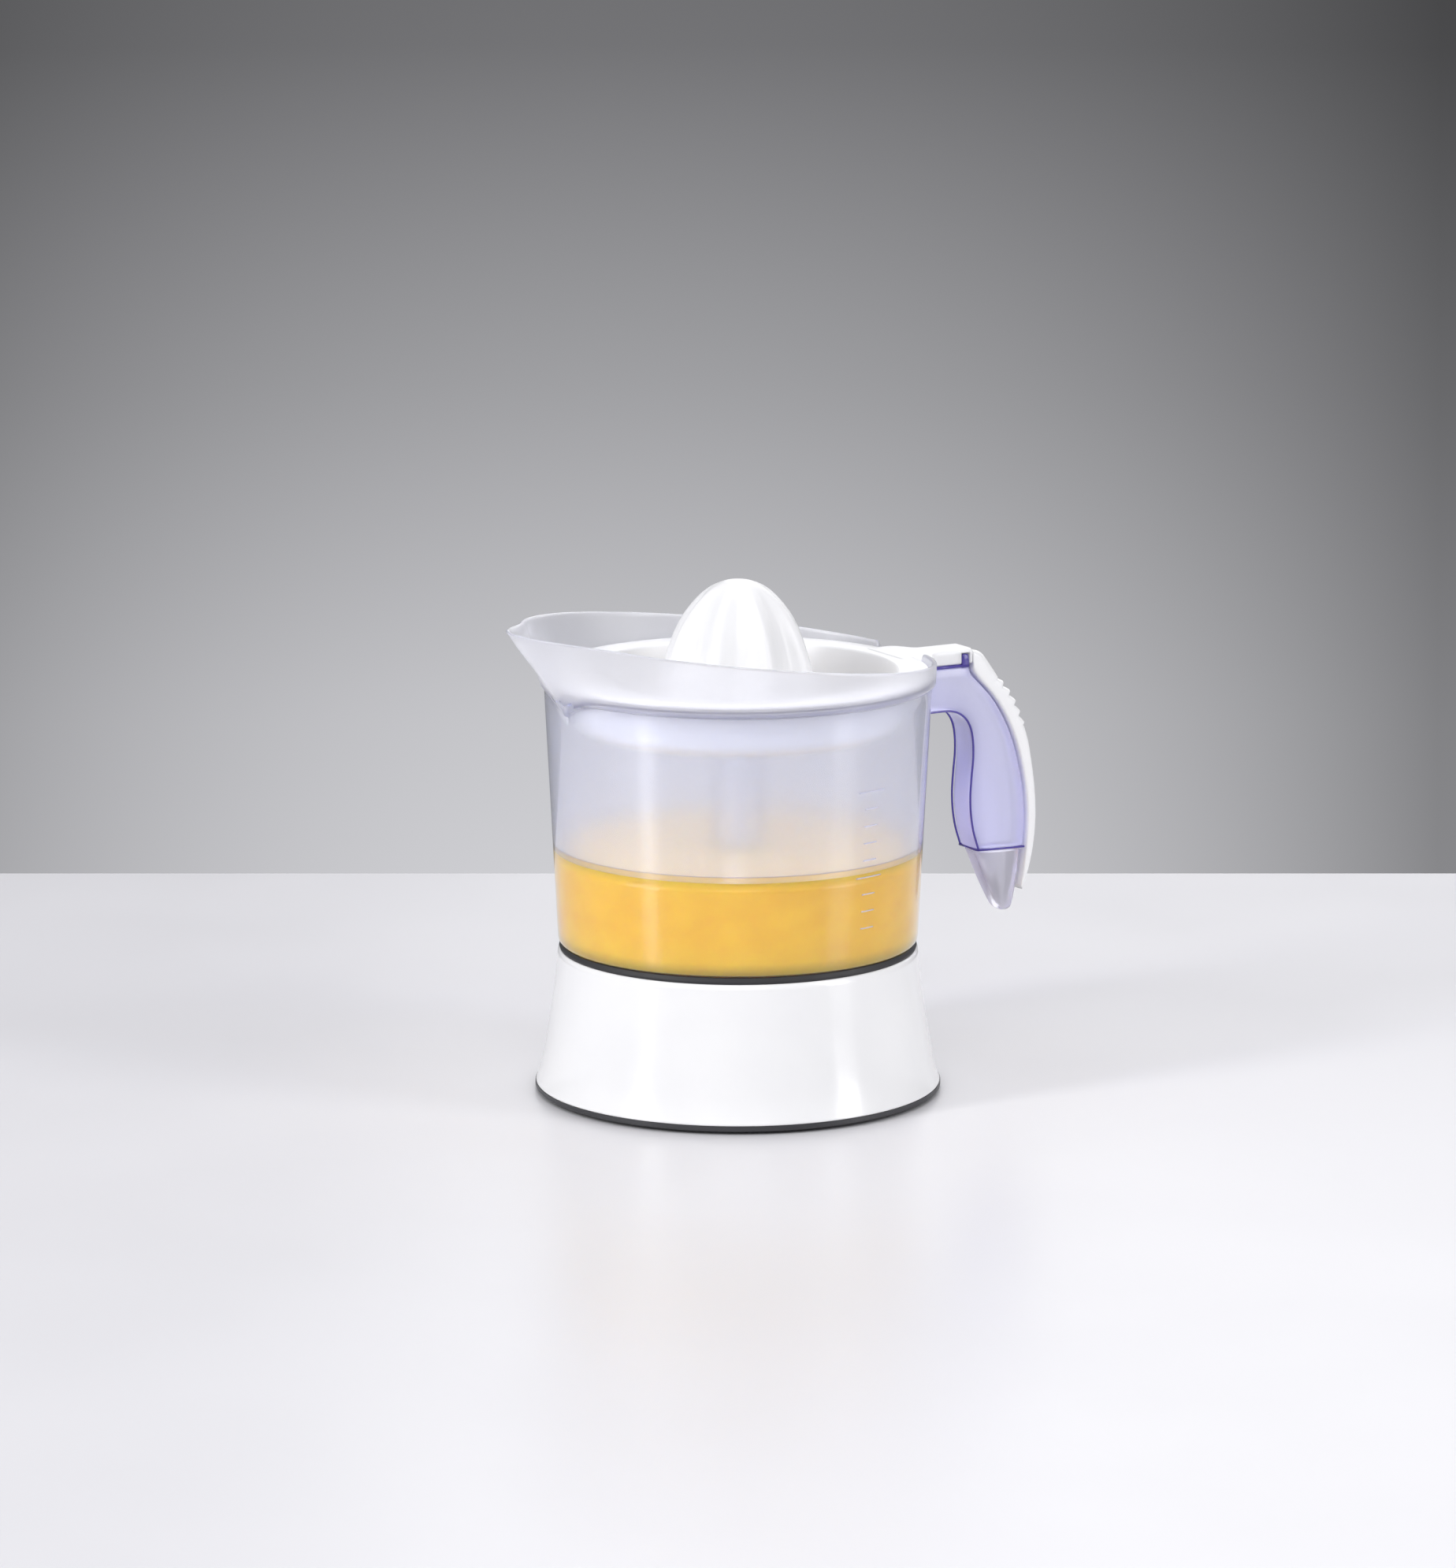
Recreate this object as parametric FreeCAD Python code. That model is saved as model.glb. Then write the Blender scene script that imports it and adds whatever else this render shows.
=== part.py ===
import FreeCAD, Part

import math
import os

# Citrus press juicer. Millimetres, +Z up. The origin is on the spindle axis, at the
# level of the table. The handle points to +X, the spout to -X and the front to -Y.

# ---------------------------------------------------------------- driving dimensions
FOOT_H = 1.2             # foot ring below the bottom cover
COVER_TOP_Z = 3.4        # top of the bottom cover, where the housing stands
BASE_BOTTOM_R = 79.5     # housing flare at its lower edge
BASE_TOP_R = 70.8        # housing at its upper edge
DECK_Z = 57.0            # shelf that carries the seat ring
PLATEAU_Z = 60.6         # raised middle of the deck, which centres the jug
PLATEAU_R = 67.2
WALL = 2.2               # housing wall
TOWER_TOP_Z = 78.0       # collar of the housing around the spindle
TOWER_IN_R = 6.5
TOWER_OUT_R = 7.9
INLET_Z = 15.0           # cord inlet at the back
INLET_R = 5.2
INLET_BORE_R = 3.5
FOOT_IN_R = 69.0
FOOT_OUT_R = 75.5
GROOVE_H = 1.2           # groove of the bottom cover that holds the foot ring
HEAD_R = 2.6             # heads of the cover's screws
HEAD_H = 1.1
SCREW_R = 1.4            # shanks of the cover's screws
SCREW_CLEAR_R = 1.6

JUG_BOTTOM_Z = 59.6      # jug's standing edge, on the seat ring
JUG_FLOOR_Z = 63.4
JUG_BOTTOM_R = 70.6
JUG_TOP_R = 75.9         # jug wall just under the ledge
JUG_WALL = 2.0
LEDGE_Z = 162.6          # outer step under the collar
LEDGE_R = 77.3
RIM_Z = 178.1            # rim height above the axis
RIM_TILT = 0.117         # the rim falls by this much per mm towards the handle
SPOUT_APEX_Z = 156.2     # lowest point of the spout's keel
SPOUT_SLOPE = 0.70       # how far the keel runs out per mm of height
SPOUT_BROAD = 8.0        # broad flare of the rim around the spout
SPOUT_BROAD_DEG = 80.0
SPOUT_NARROW_DEG = 22.0
COLUMN_TOP_Z = 152.0     # hollow column around the spindle
COLUMN_R = (11.2, 9.3)   # at the floor and at its top
COLUMN_BORE_R = (9.0, 7.4)

STRAINER_TOP_Z = 167.4   # upper face of the strainer's flange and of its arm
STRAINER_FLANGE_R = 74.9
BOWL_R = 64.6
BOWL_FLOOR_Z = 144.0
HUB_TOP_Z = 158.0
BUSH_R = 8.0             # bushes of the strainer's hub and of the output gear
SLOT_HALF_W = 0.9        # slots of the strainer's floor

CONE_TOP_Z = 202.8
CONE_SKIRT_Z = 157.0
CONE_RIBS = 8
CONE_RIB_ANGLE = 40.0    # direction of the first rib
CONE_RIB_HALF_W = 2.6
CONE_LIP_R = 34.6
CONE_PROFILE = [(0.0, CONE_TOP_Z), (5.4, 202.2), (10.2, 200.3), (14.6, 197.2), (18.7, 193.0),
                (22.6, 187.9), (25.9, 181.9), (28.5, 175.2), (30.6, 168.0), (32.2, 160.4)]

SPINDLE_FLATS = 7.0      # hexagon, across flats
DRIVER_FLATS = 12.0
FIT = 0.05               # radial clearance of running fits
PRESS_TRAVEL = 2.5       # how far the cone and spindle go down in use
GAP = 0.3                # clearance between bodies that only pass each other

HANDLE_W = 15.0          # handle and its cover, along Y
HANDLE_WALL = 2.2
NOTCH_HALF_W = 17.0      # opening of the rim for the strainer's arm
ARM_TOP_Z = 160.8
ARM_BOTTOM_Z = 142.8
ARM_SKIN = 2.2           # top of the strainer's arm
SKIRT_W = 1.8            # sides of the strainer's arm, and the lugs between them
LUG_X = (98.4, 101.8)
LUG_TOP_Z = 165.4
SEAM_X = 103.6           # the cover of the handle starts here
TIP_Z = 58.4             # lower end of the handle
RIDGES = 5               # thumb ridges on the cover

# Outlines of the handle in the plane of the spout and handle, x outwards.
GRIP_INSIDE = [(94.0, 142.6), (100.0, 139.2), (103.6, 131.5), (103.3, 120.0), (102.5, 108.0),
               (103.6, 96.0), (106.6, 85.0)]
GRIP_BACK = [(103.0, 157.4), (109.0, 151.4), (116.4, 142.4), (122.4, 131.5), (127.0, 117.0),
             (129.5, 100.0), (128.8, 84.0)]
COVER_OUTSIDE = [(128.9, 132.5), (132.2, 117.0), (134.4, 101.0), (133.6, 87.0), (131.0, 76.0),
                 (126.8, 66.6)]

# Gear train: rotor pinion, compound first gear, output gear on the spindle axis.
PINION_TEETH = 12
FIRST_TEETH = 60
OUTPUT_TEETH = 72
MODULE_1 = 0.6
MODULE_2 = 0.85
ROTOR_X = -30.0
ROTOR_Y = 22.0
PRESSURE_ANGLE = math.radians(25)
BACKLASH = 0.14
HUB_R = 6.0              # hub of the output gear

# Motor: a U-shaped stator whose poles surround a magnet rotor.
LEG_W = 12.0
LEG_OFFSET = 12.0
ROTOR_R = 8.6
BORE_R = 9.3
YOKE_Y = -28.0
TIP_Y = 33.0
COIL_Y = (-15.0, 10.0)
COIL_BUILD = 4.6
COIL_SKIN = 0.9          # wall of a bobbin
FLANGE_T = 1.2
SHAFT_R = 2.0            # rotor shaft and first gear's axle
SHAFT_BUSH_R = 4.0
STATOR_HOLE_R = 1.7
STATOR_HOLE_IN = (3.2, 3.5)

# Spindle, its return spring and the driver on its end.
SPRING_Z = (56.0, 70.0)
SPRING_MEAN_R = 5.1
SPRING_WIRE = 0.4
SPRING_COILS = 6
SPINDLE_TOP_Z = 171.5
SPINDLE_END_Z = 33.0
TIP_END_Z = 30.5
CLIP_GROOVE_R = 3.4
DRIVER_Z = (153.0, 176.0)

# Start switch: the spindle's tip pushes the lever on the switch's button.
LEVER_PIVOT_X = 16.0
LEVER_PIVOT_Z = 29.0
LEVER_PIN_R = 1.2
LEVER_T = 2.4
SWITCH_TOP_Z = 24.0
BUTTON_X = 8.0
BUTTON_HALF = (2.0, 1.5)

# Levels inside the base.
STATOR_Z = (10.0, 26.0)
LOWER_PLATE_Z = (31.5, 33.5)
FIRST_WHEEL_Z = (35.0, 38.5)
OUTPUT_GEAR_Z = (40.0, 46.0)
UPPER_PLATE_Z = (49.5, 51.5)
PLATE_R = 60.0
POST_R = 55.0
POST_ANGLES = (30, 162, 235, 320)
POST_OUT_R = 3.5
WINDOW_AT_R = 38.0       # round windows in the gear plates
WINDOW_R = 10.0
BOSS_R = 64.8
BOSS_ANGLES = (45, 135, 225, 315)

Z_AXIS = FreeCAD.Vector(0, 0, 1)
Y_AXIS = FreeCAD.Vector(0, 1, 0)
ORIGIN = FreeCAD.Vector(0, 0, 0)


# ---------------------------------------------------------------------------- helpers
def vec(x, y, z):
    return FreeCAD.Vector(x, y, z)


def polar(radius, degrees):
    """Point (x, y) at a radius and an angle about the spindle axis."""
    angle = math.radians(degrees)
    return radius * math.cos(angle), radius * math.sin(angle)


def cyl(radius, z0, z1, x=0.0, y=0.0):
    return Part.makeCylinder(radius, z1 - z0, vec(x, y, z0), Z_AXIS)


def ring(r_in, r_out, z0, z1, x=0.0, y=0.0):
    return cyl(r_out, z0, z1, x, y).cut(cyl(r_in, z0 - 1, z1 + 1, x, y))


def box(x0, x1, y0, y1, z0, z1):
    return Part.makeBox(x1 - x0, y1 - y0, z1 - z0, vec(x0, y0, z0))


def hexagon(flats, z0, z1):
    """Hexagonal prism about the spindle axis, a corner towards +X."""
    corner = flats / math.sqrt(3)
    points = [vec(*polar(corner, 60 * i), z0) for i in range(6)]
    face = Part.Face(Part.makePolygon(points + points[:1]))
    return face.extrude(vec(0, 0, z1 - z0))


def cone_frustum(r0, r1, z0, z1, x=0.0, y=0.0):
    return Part.makeCone(r0, r1, z1 - z0, vec(x, y, z0), Z_AXIS)


def spun(points):
    """Solid of revolution about Z of a closed polygon of (r, z) corners."""
    corners = [vec(r, 0, z) for r, z in points]
    face = Part.Face(Part.makePolygon(corners + corners[:1]))
    return face.revolve(ORIGIN, Z_AXIS, 360)


def curve(points):
    """Smooth edge through (x, z) points in the plane y = 0."""
    spline = Part.BSplineCurve()
    spline.interpolate([vec(x, 0, z) for x, z in points])
    return spline.toShape()


def lines(points):
    """Straight edges through (x, z) points in the plane y = 0."""
    corners = [vec(x, 0, z) for x, z in points]
    return [Part.makeLine(a, b) for a, b in zip(corners, corners[1:])]


def plate_y(edges, half_width):
    """Solid of a closed outline in the plane y = 0, spread evenly along Y."""
    face = Part.Face(Part.Wire(Part.__sortEdges__(edges)))
    face.translate(vec(0, -half_width, 0))
    return face.extrude(vec(0, 2 * half_width, 0))


def fuse(shapes):
    return shapes[0].multiFuse(shapes[1:]).removeSplitter()


def rounded(shape, radius, wanted):
    """Round the edges that wanted(edge) picks."""
    edges = [edge for edge in shape.Edges if wanted(edge)]
    return shape.makeFillet(radius, edges)


def involute(angle):
    return math.tan(angle) - angle


def gear(teeth, module, z0, z1, phase, x=0.0, y=0.0):
    """Spur gear with stub involute teeth; one tooth points at the angle phase."""
    pitch_r = teeth * module / 2
    base_r = pitch_r * math.cos(PRESSURE_ANGLE)
    tip_r = pitch_r + 0.8 * module
    root_r = pitch_r - 1.05 * module
    start_r = max(base_r, root_r)
    half_pitch = math.pi / (2 * teeth) - BACKLASH / (2 * pitch_r)
    flank = []
    for step in range(5):
        radius = start_r + (tip_r - start_r) * step / 4
        pressure = math.acos(min(1.0, base_r / radius))
        half = half_pitch + involute(PRESSURE_ANGLE) - involute(pressure)
        flank.append((radius, half))
    if root_r < base_r:
        flank.insert(0, (root_r, flank[0][1]))
    points = []
    for tooth in range(teeth):
        middle = phase + 2 * math.pi * tooth / teeth
        sides = [(r, middle - half) for r, half in flank]
        sides += [(r, middle + half) for r, half in reversed(flank)]
        points += [vec(x + r * math.cos(a), y + r * math.sin(a), z0) for r, a in sides]
    face = Part.Face(Part.makePolygon(points + points[:1]))
    return face.extrude(vec(0, 0, z1 - z0))


def first_gear_place():
    """Axis of the first gear, in mesh with both the rotor pinion and the output gear."""
    to_output = (PINION_TEETH + OUTPUT_TEETH) * MODULE_2 / 2
    to_rotor = (PINION_TEETH + FIRST_TEETH) * MODULE_1 / 2
    rotor_r = math.hypot(ROTOR_X, ROTOR_Y)
    rotor_angle = math.atan2(ROTOR_Y, ROTOR_X)
    cosine = (to_output ** 2 + rotor_r ** 2 - to_rotor ** 2) / (2 * to_output * rotor_r)
    angle = rotor_angle - math.acos(cosine)
    return to_output * math.cos(angle), to_output * math.sin(angle)


FIRST_X, FIRST_Y = first_gear_place()


# --------------------------------------------------------------------- base, outside
def flare(inset):
    """Concave side of the housing, moved inwards by inset."""
    return curve([
        (BASE_BOTTOM_R - inset, COVER_TOP_Z),
        (77.0 - inset, 12.5),
        (74.3 - inset, 28.0),
        (72.1 - inset, 43.0),
        (BASE_TOP_R - inset, DECK_Z - 0.8),
    ])


def base_housing():
    """White shell with its deck, the collar for the spindle and the screw bosses."""
    outline = [flare(0)] + lines([
        (BASE_TOP_R, DECK_Z - 0.8), (BASE_TOP_R - 0.8, DECK_Z), (PLATEAU_R, DECK_Z),
        (PLATEAU_R, PLATEAU_Z - 0.6), (PLATEAU_R - 0.6, PLATEAU_Z), (0, PLATEAU_Z),
        (0, COVER_TOP_Z), (BASE_BOTTOM_R, COVER_TOP_Z),
    ])
    face = Part.Face(Part.Wire(Part.__sortEdges__(outline)))
    outside = face.revolve(ORIGIN, Z_AXIS, 360)
    under_deck = DECK_Z - WALL
    hollow_edges = [flare(WALL)] + lines([
        (BASE_TOP_R - WALL, DECK_Z - 0.8), (BASE_TOP_R - WALL - 1.6, under_deck),
        (PLATEAU_R - WALL, under_deck), (PLATEAU_R - WALL, PLATEAU_Z - WALL),
        (0, PLATEAU_Z - WALL), (0, COVER_TOP_Z), (BASE_BOTTOM_R - WALL, COVER_TOP_Z),
    ])
    hollow = Part.Face(Part.Wire(Part.__sortEdges__(hollow_edges)))
    shell = outside.cut(hollow.revolve(ORIGIN, Z_AXIS, 360))
    bosses = []
    for degrees in BOSS_ANGLES:
        x, y = polar(BOSS_R, degrees)
        bosses.append(cyl(SCREW_R + 1.7, COVER_TOP_Z, under_deck + 0.5, x, y))
    posts = []
    for degrees in POST_ANGLES:
        x, y = polar(POST_R, degrees)
        posts.append(cyl(POST_OUT_R, UPPER_PLATE_Z[1], PLATEAU_Z - WALL + 0.5, x, y))
    tower = cyl(TOWER_OUT_R, PLATEAU_Z - WALL, TOWER_TOP_Z)
    body = fuse([shell, tower] + bosses + posts)
    holes = [cyl(TOWER_IN_R, PLATEAU_Z - WALL - 1, TOWER_TOP_Z + 1)]
    for degrees in BOSS_ANGLES:
        x, y = polar(BOSS_R, degrees)
        holes.append(cyl(SCREW_R, COVER_TOP_Z - 1, COVER_TOP_Z + 12, x, y))
    for degrees in POST_ANGLES:
        x, y = polar(POST_R, degrees)
        holes.append(cyl(SCREW_R, UPPER_PLATE_Z[1] - 1, PLATEAU_Z - WALL - 0.4, x, y))
    inlet = Part.makeCylinder(INLET_R, 12, vec(0, BASE_BOTTOM_R - 10, INLET_Z), Y_AXIS)
    return body.cut(Part.makeCompound(holes + [inlet]))


def cord_grommet(housing):
    """Rubber grommet that lines the cord inlet at the back."""
    start = 72.0
    sleeve = Part.makeCylinder(INLET_R, 6.6, vec(0, start, INLET_Z), Y_AXIS)
    outer_lip = Part.makeCylinder(INLET_R + 1.8, 1.9, vec(0, 76.6, INLET_Z), Y_AXIS)
    inner_lip = Part.makeCylinder(INLET_R + 1.4, 1.4, vec(0, start, INLET_Z), Y_AXIS)
    bore = Part.makeCylinder(INLET_BORE_R, 12, vec(0, start - 2, INLET_Z), Y_AXIS)
    whole = fuse([sleeve, outer_lip, inner_lip]).cut(bore)
    return whole.cut(housing)


def seat_ring():
    """Dark rubber ring between the housing's shelf and the jug's standing edge."""
    return spun([
        (PLATEAU_R + 0.3, DECK_Z), (BASE_TOP_R - 0.9, DECK_Z), (BASE_TOP_R - 0.5, DECK_Z + 0.5),
        (BASE_TOP_R - 0.5, JUG_BOTTOM_Z - 0.7), (BASE_TOP_R - 1.0, JUG_BOTTOM_Z - 0.1),
        (PLATEAU_R + 0.3, JUG_BOTTOM_Z - 0.1),
    ])


def bottom_cover():
    """Dark plate that closes the base, grooved for the foot ring and vented."""
    rim_r = BASE_BOTTOM_R + 0.4
    plate = spun([
        (0, FOOT_H), (rim_r - 0.8, FOOT_H), (rim_r, FOOT_H + 0.7),
        (rim_r, COVER_TOP_Z), (0, COVER_TOP_Z),
    ])
    cuts = [ring(FOOT_IN_R, FOOT_OUT_R, FOOT_H - 1, FOOT_H + GROOVE_H)]
    for degrees in BOSS_ANGLES:
        x, y = polar(BOSS_R, degrees)
        cuts.append(cyl(SCREW_CLEAR_R, 0, COVER_TOP_Z + 1, x, y))
        cuts.append(cyl(HEAD_R + 0.1, 0, FOOT_H + HEAD_H, x, y))
    for row in range(-3, 4):
        y = 7.0 * row
        half = 22.0 - 3.0 * abs(row)
        cuts.append(box(-half, half, y - 1.2, y + 1.2, 0, COVER_TOP_Z + 1))
    return plate.cut(Part.makeCompound(cuts))


def foot_ring():
    """Rubber ring that the base stands on, with rounded lower edges."""
    return spun([
        (FOOT_IN_R, 0.4), (FOOT_IN_R + 0.4, 0), (FOOT_OUT_R - 0.4, 0), (FOOT_OUT_R, 0.4),
        (FOOT_OUT_R, FOOT_H + GROOVE_H), (FOOT_IN_R, FOOT_H + GROOVE_H),
    ])


def cover_screws():
    """Slotted screws that hold the bottom cover to the housing's bosses."""
    screws = []
    for degrees in BOSS_ANGLES:
        x, y = polar(BOSS_R, degrees)
        head_top = FOOT_H + HEAD_H
        shank = cyl(SCREW_R, head_top, COVER_TOP_Z + 10, x, y)
        head = cyl(HEAD_R, FOOT_H + 0.1, head_top, x, y)
        slot = box(x - 3, x + 3, y - 0.4, y + 0.4, FOOT_H, FOOT_H + 0.6)
        screws.append(fuse([shank, head]).cut(slot))
    return Part.makeCompound(screws)


# ---------------------------------------------------------------- base, motor and gears
def post_places():
    """Axes of the posts, in plan."""
    return [polar(POST_R, degrees) for degrees in POST_ANGLES]


def lower_plate():
    """Gear plate that carries the motor, the lever bracket and the lower bushes."""
    plate = cyl(PLATE_R, *LOWER_PLATE_Z)
    z0, z1 = LOWER_PLATE_Z[0] - 1, LOWER_PLATE_Z[1] + 1
    cuts = [cyl(BUSH_R, z0, z1), cyl(SHAFT_R, z0, z1, FIRST_X, FIRST_Y)]
    cuts.append(cyl(SHAFT_BUSH_R, z0, z1, ROTOR_X, ROTOR_Y))
    cuts += [cyl(SCREW_CLEAR_R, z0, z1, x, y) for x, y in post_places()]
    for degrees in (-75, -15):
        x, y = polar(WINDOW_AT_R, degrees)
        cuts.append(cyl(WINDOW_R + 1, z0, z1, x, y))
    return plate.cut(Part.makeCompound(cuts))


def upper_plate():
    plate = cyl(PLATE_R, *UPPER_PLATE_Z)
    z0, z1 = UPPER_PLATE_Z[0] - 1, UPPER_PLATE_Z[1] + 1
    cuts = [cyl(BUSH_R, z0, z1), cyl(SHAFT_R, z0, z1, FIRST_X, FIRST_Y)]
    cuts += [cyl(SCREW_CLEAR_R, z0, z1, x, y) for x, y in post_places()]
    for degrees in (-125, -75, -20, 45):
        x, y = polar(WINDOW_AT_R, degrees)
        cuts.append(cyl(WINDOW_R, z0, z1, x, y))
    return plate.cut(Part.makeCompound(cuts))


def plate_posts():
    """Spacer tubes that hold the two gear plates apart."""
    z0, z1 = LOWER_PLATE_Z[1], UPPER_PLATE_Z[0]
    tubes = [ring(SCREW_CLEAR_R, POST_OUT_R, z0, z1, x, y) for x, y in post_places()]
    return Part.makeCompound(tubes)


def plate_screws():
    """Long screws through both plates and the spacers, into the housing's posts."""
    screws = []
    for x, y in post_places():
        shank = cyl(1.3, LOWER_PLATE_Z[0], PLATEAU_Z - WALL - 1, x, y)
        head = cyl(2.8, LOWER_PLATE_Z[0] - 1.8, LOWER_PLATE_Z[0], x, y)
        slot = box(x - 3, x + 3, y - 0.4, y + 0.4, LOWER_PLATE_Z[0] - 2, LOWER_PLATE_Z[0] - 1)
        screws.append(fuse([shank, head]).cut(slot))
    return Part.makeCompound(screws)


def output_bush(plate_z):
    """Bronze bush for the output gear's hub, in a gear plate and proud of it."""
    return ring(HUB_R + FIT, BUSH_R, plate_z[0] - 0.4, plate_z[1] + 0.4)


def stator_core():
    """U-shaped stack of laminations with its two poles around the rotor."""
    z0, z1 = STATOR_Z
    half = LEG_OFFSET + LEG_W / 2
    core = box(ROTOR_X - half, ROTOR_X + half, YOKE_Y, TIP_Y, z0, z1)
    inner = LEG_OFFSET - LEG_W / 2
    window = box(ROTOR_X - inner, ROTOR_X + inner, YOKE_Y + LEG_W, TIP_Y + 1, z0 - 1, z1 + 1)
    bore = cyl(BORE_R, z0 - 1, z1 + 1, ROTOR_X, ROTOR_Y)
    holes = []
    for side in (-1, 1):
        x = ROTOR_X + side * (half - STATOR_HOLE_IN[0])
        for y in (YOKE_Y + STATOR_HOLE_IN[1], TIP_Y - STATOR_HOLE_IN[1]):
            holes.append(cyl(STATOR_HOLE_R, z0 - 1, z1 + 1, x, y))
    return core.cut(Part.makeCompound([window, bore] + holes))


def bobbin(side):
    """Plastic former of one coil: a square tube with two flanges around a leg."""
    x = ROTOR_X + side * LEG_OFFSET
    z0, z1 = STATOR_Z
    half = LEG_W / 2
    reach = half + COIL_SKIN
    tube = box(x - reach, x + reach, COIL_Y[0], COIL_Y[1], z0 - COIL_SKIN, z1 + COIL_SKIN)
    parts = [tube]
    reach = half + COIL_BUILD
    for y in (COIL_Y[0], COIL_Y[1] - FLANGE_T):
        parts.append(box(x - reach, x + reach, y, y + FLANGE_T, z0 - COIL_BUILD, z1 + COIL_BUILD))
    leg = box(x - half, x + half, COIL_Y[0] - 1, COIL_Y[1] + 1, z0, z1)
    return fuse(parts).cut(leg)


def winding(side):
    """Enamelled copper coil between a bobbin's flanges."""
    x = ROTOR_X + side * LEG_OFFSET
    z0, z1 = STATOR_Z
    half = LEG_W / 2
    build = COIL_BUILD - 0.7
    y0, y1 = COIL_Y[0] + FLANGE_T, COIL_Y[1] - FLANGE_T
    outside = box(x - half - build, x + half + build, y0, y1, z0 - build, z1 + build)
    outside = rounded(outside, 2.4, lambda edge: abs(edge.Length - (y1 - y0)) < 1e-6)
    reach = half + COIL_SKIN
    inside = box(x - reach, x + reach, y0 - 1, y1 + 1, z0 - COIL_SKIN, z1 + COIL_SKIN)
    return outside.cut(inside)


def motor_bracket():
    """Plate under the poles that holds the rotor's lower bush."""
    z0, z1 = STATOR_Z[0] - 3.0, STATOR_Z[0] - 1.0
    half = LEG_OFFSET + LEG_W / 2
    plate = box(ROTOR_X - half, ROTOR_X + half, COIL_Y[1] + 1, TIP_Y, z0, z1)
    feet = []
    holes = [cyl(SHAFT_BUSH_R, z0 - 1, z1 + 1, ROTOR_X, ROTOR_Y)]
    y = TIP_Y - STATOR_HOLE_IN[1]
    for side in (-1, 1):
        x = ROTOR_X + side * (half - STATOR_HOLE_IN[0])
        feet.append(cyl(2.8, z1, STATOR_Z[0], x, y))
        holes.append(cyl(STATOR_HOLE_R, z0 - 1, STATOR_Z[0] + 1, x, y))
    return fuse([plate] + feet).cut(Part.makeCompound(holes))


def rotor_bushes():
    """Bronze bushes of the rotor, in the motor bracket and in the lower gear plate."""
    bushes = []
    in_bracket = (STATOR_Z[0] - 3.4, STATOR_Z[0] - 0.6)
    in_plate = (LOWER_PLATE_Z[0] - 0.4, LOWER_PLATE_Z[1] + 0.4)
    for z0, z1 in (in_bracket, in_plate):
        bushes.append(ring(SHAFT_R + FIT, SHAFT_BUSH_R, z0, z1, ROTOR_X, ROTOR_Y))
    return Part.makeCompound(bushes)


def stator_screws():
    """Four screws and spacer sleeves that hang the stator from the lower gear plate."""
    half = LEG_OFFSET + LEG_W / 2
    screws = []
    for side in (-1, 1):
        for y in (YOKE_Y + STATOR_HOLE_IN[1], TIP_Y - STATOR_HOLE_IN[1]):
            x = ROTOR_X + side * (half - STATOR_HOLE_IN[0])
            shank = cyl(1.5, STATOR_Z[0] - 3.0, LOWER_PLATE_Z[0] - 0.1, x, y)
            sleeve = cyl(2.8, STATOR_Z[1], LOWER_PLATE_Z[0] - 0.1, x, y)
            head_z = STATOR_Z[0] - 3.0
            head = cyl(2.6, head_z - 1.6, head_z, x, y)
            screws.append(fuse([shank, sleeve, head]))
    return Part.makeCompound(screws)


def rotor_magnet():
    return ring(SHAFT_R, ROTOR_R, STATOR_Z[0] + 0.5, STATOR_Z[1] - 0.5, ROTOR_X, ROTOR_Y)


def rotor_shaft():
    return cyl(SHAFT_R, STATOR_Z[0] - 3.2, FIRST_WHEEL_Z[1], ROTOR_X, ROTOR_Y)


def rotor_pinion():
    """Pinion pressed on the rotor shaft, a tooth towards the first gear."""
    phase = math.atan2(FIRST_Y - ROTOR_Y, FIRST_X - ROTOR_X)
    teeth = gear(PINION_TEETH, MODULE_1, *FIRST_WHEEL_Z, phase, ROTOR_X, ROTOR_Y)
    return teeth.cut(cyl(SHAFT_R, FIRST_WHEEL_Z[0] - 1, FIRST_WHEEL_Z[1] + 1, ROTOR_X, ROTOR_Y))


def first_gear():
    """Moulded compound gear: a wheel driven by the rotor and a pinion above it."""
    to_rotor = math.atan2(ROTOR_Y - FIRST_Y, ROTOR_X - FIRST_X)
    to_output = math.atan2(-FIRST_Y, -FIRST_X)
    wheel = gear(FIRST_TEETH, MODULE_1, *FIRST_WHEEL_Z, to_rotor + math.pi / FIRST_TEETH,
                 FIRST_X, FIRST_Y)
    pinion = gear(PINION_TEETH, MODULE_2, FIRST_WHEEL_Z[1], OUTPUT_GEAR_Z[1] + 1.5, to_output,
                  FIRST_X, FIRST_Y)
    hub = cyl(3.6, LOWER_PLATE_Z[1] + GAP, UPPER_PLATE_Z[0] - GAP, FIRST_X, FIRST_Y)
    bore = cyl(SHAFT_R + FIT, 0, 60, FIRST_X, FIRST_Y)
    return fuse([wheel, pinion, hub]).cut(bore)


def first_gear_axle():
    return cyl(SHAFT_R, LOWER_PLATE_Z[0], UPPER_PLATE_Z[1], FIRST_X, FIRST_Y)


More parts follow.
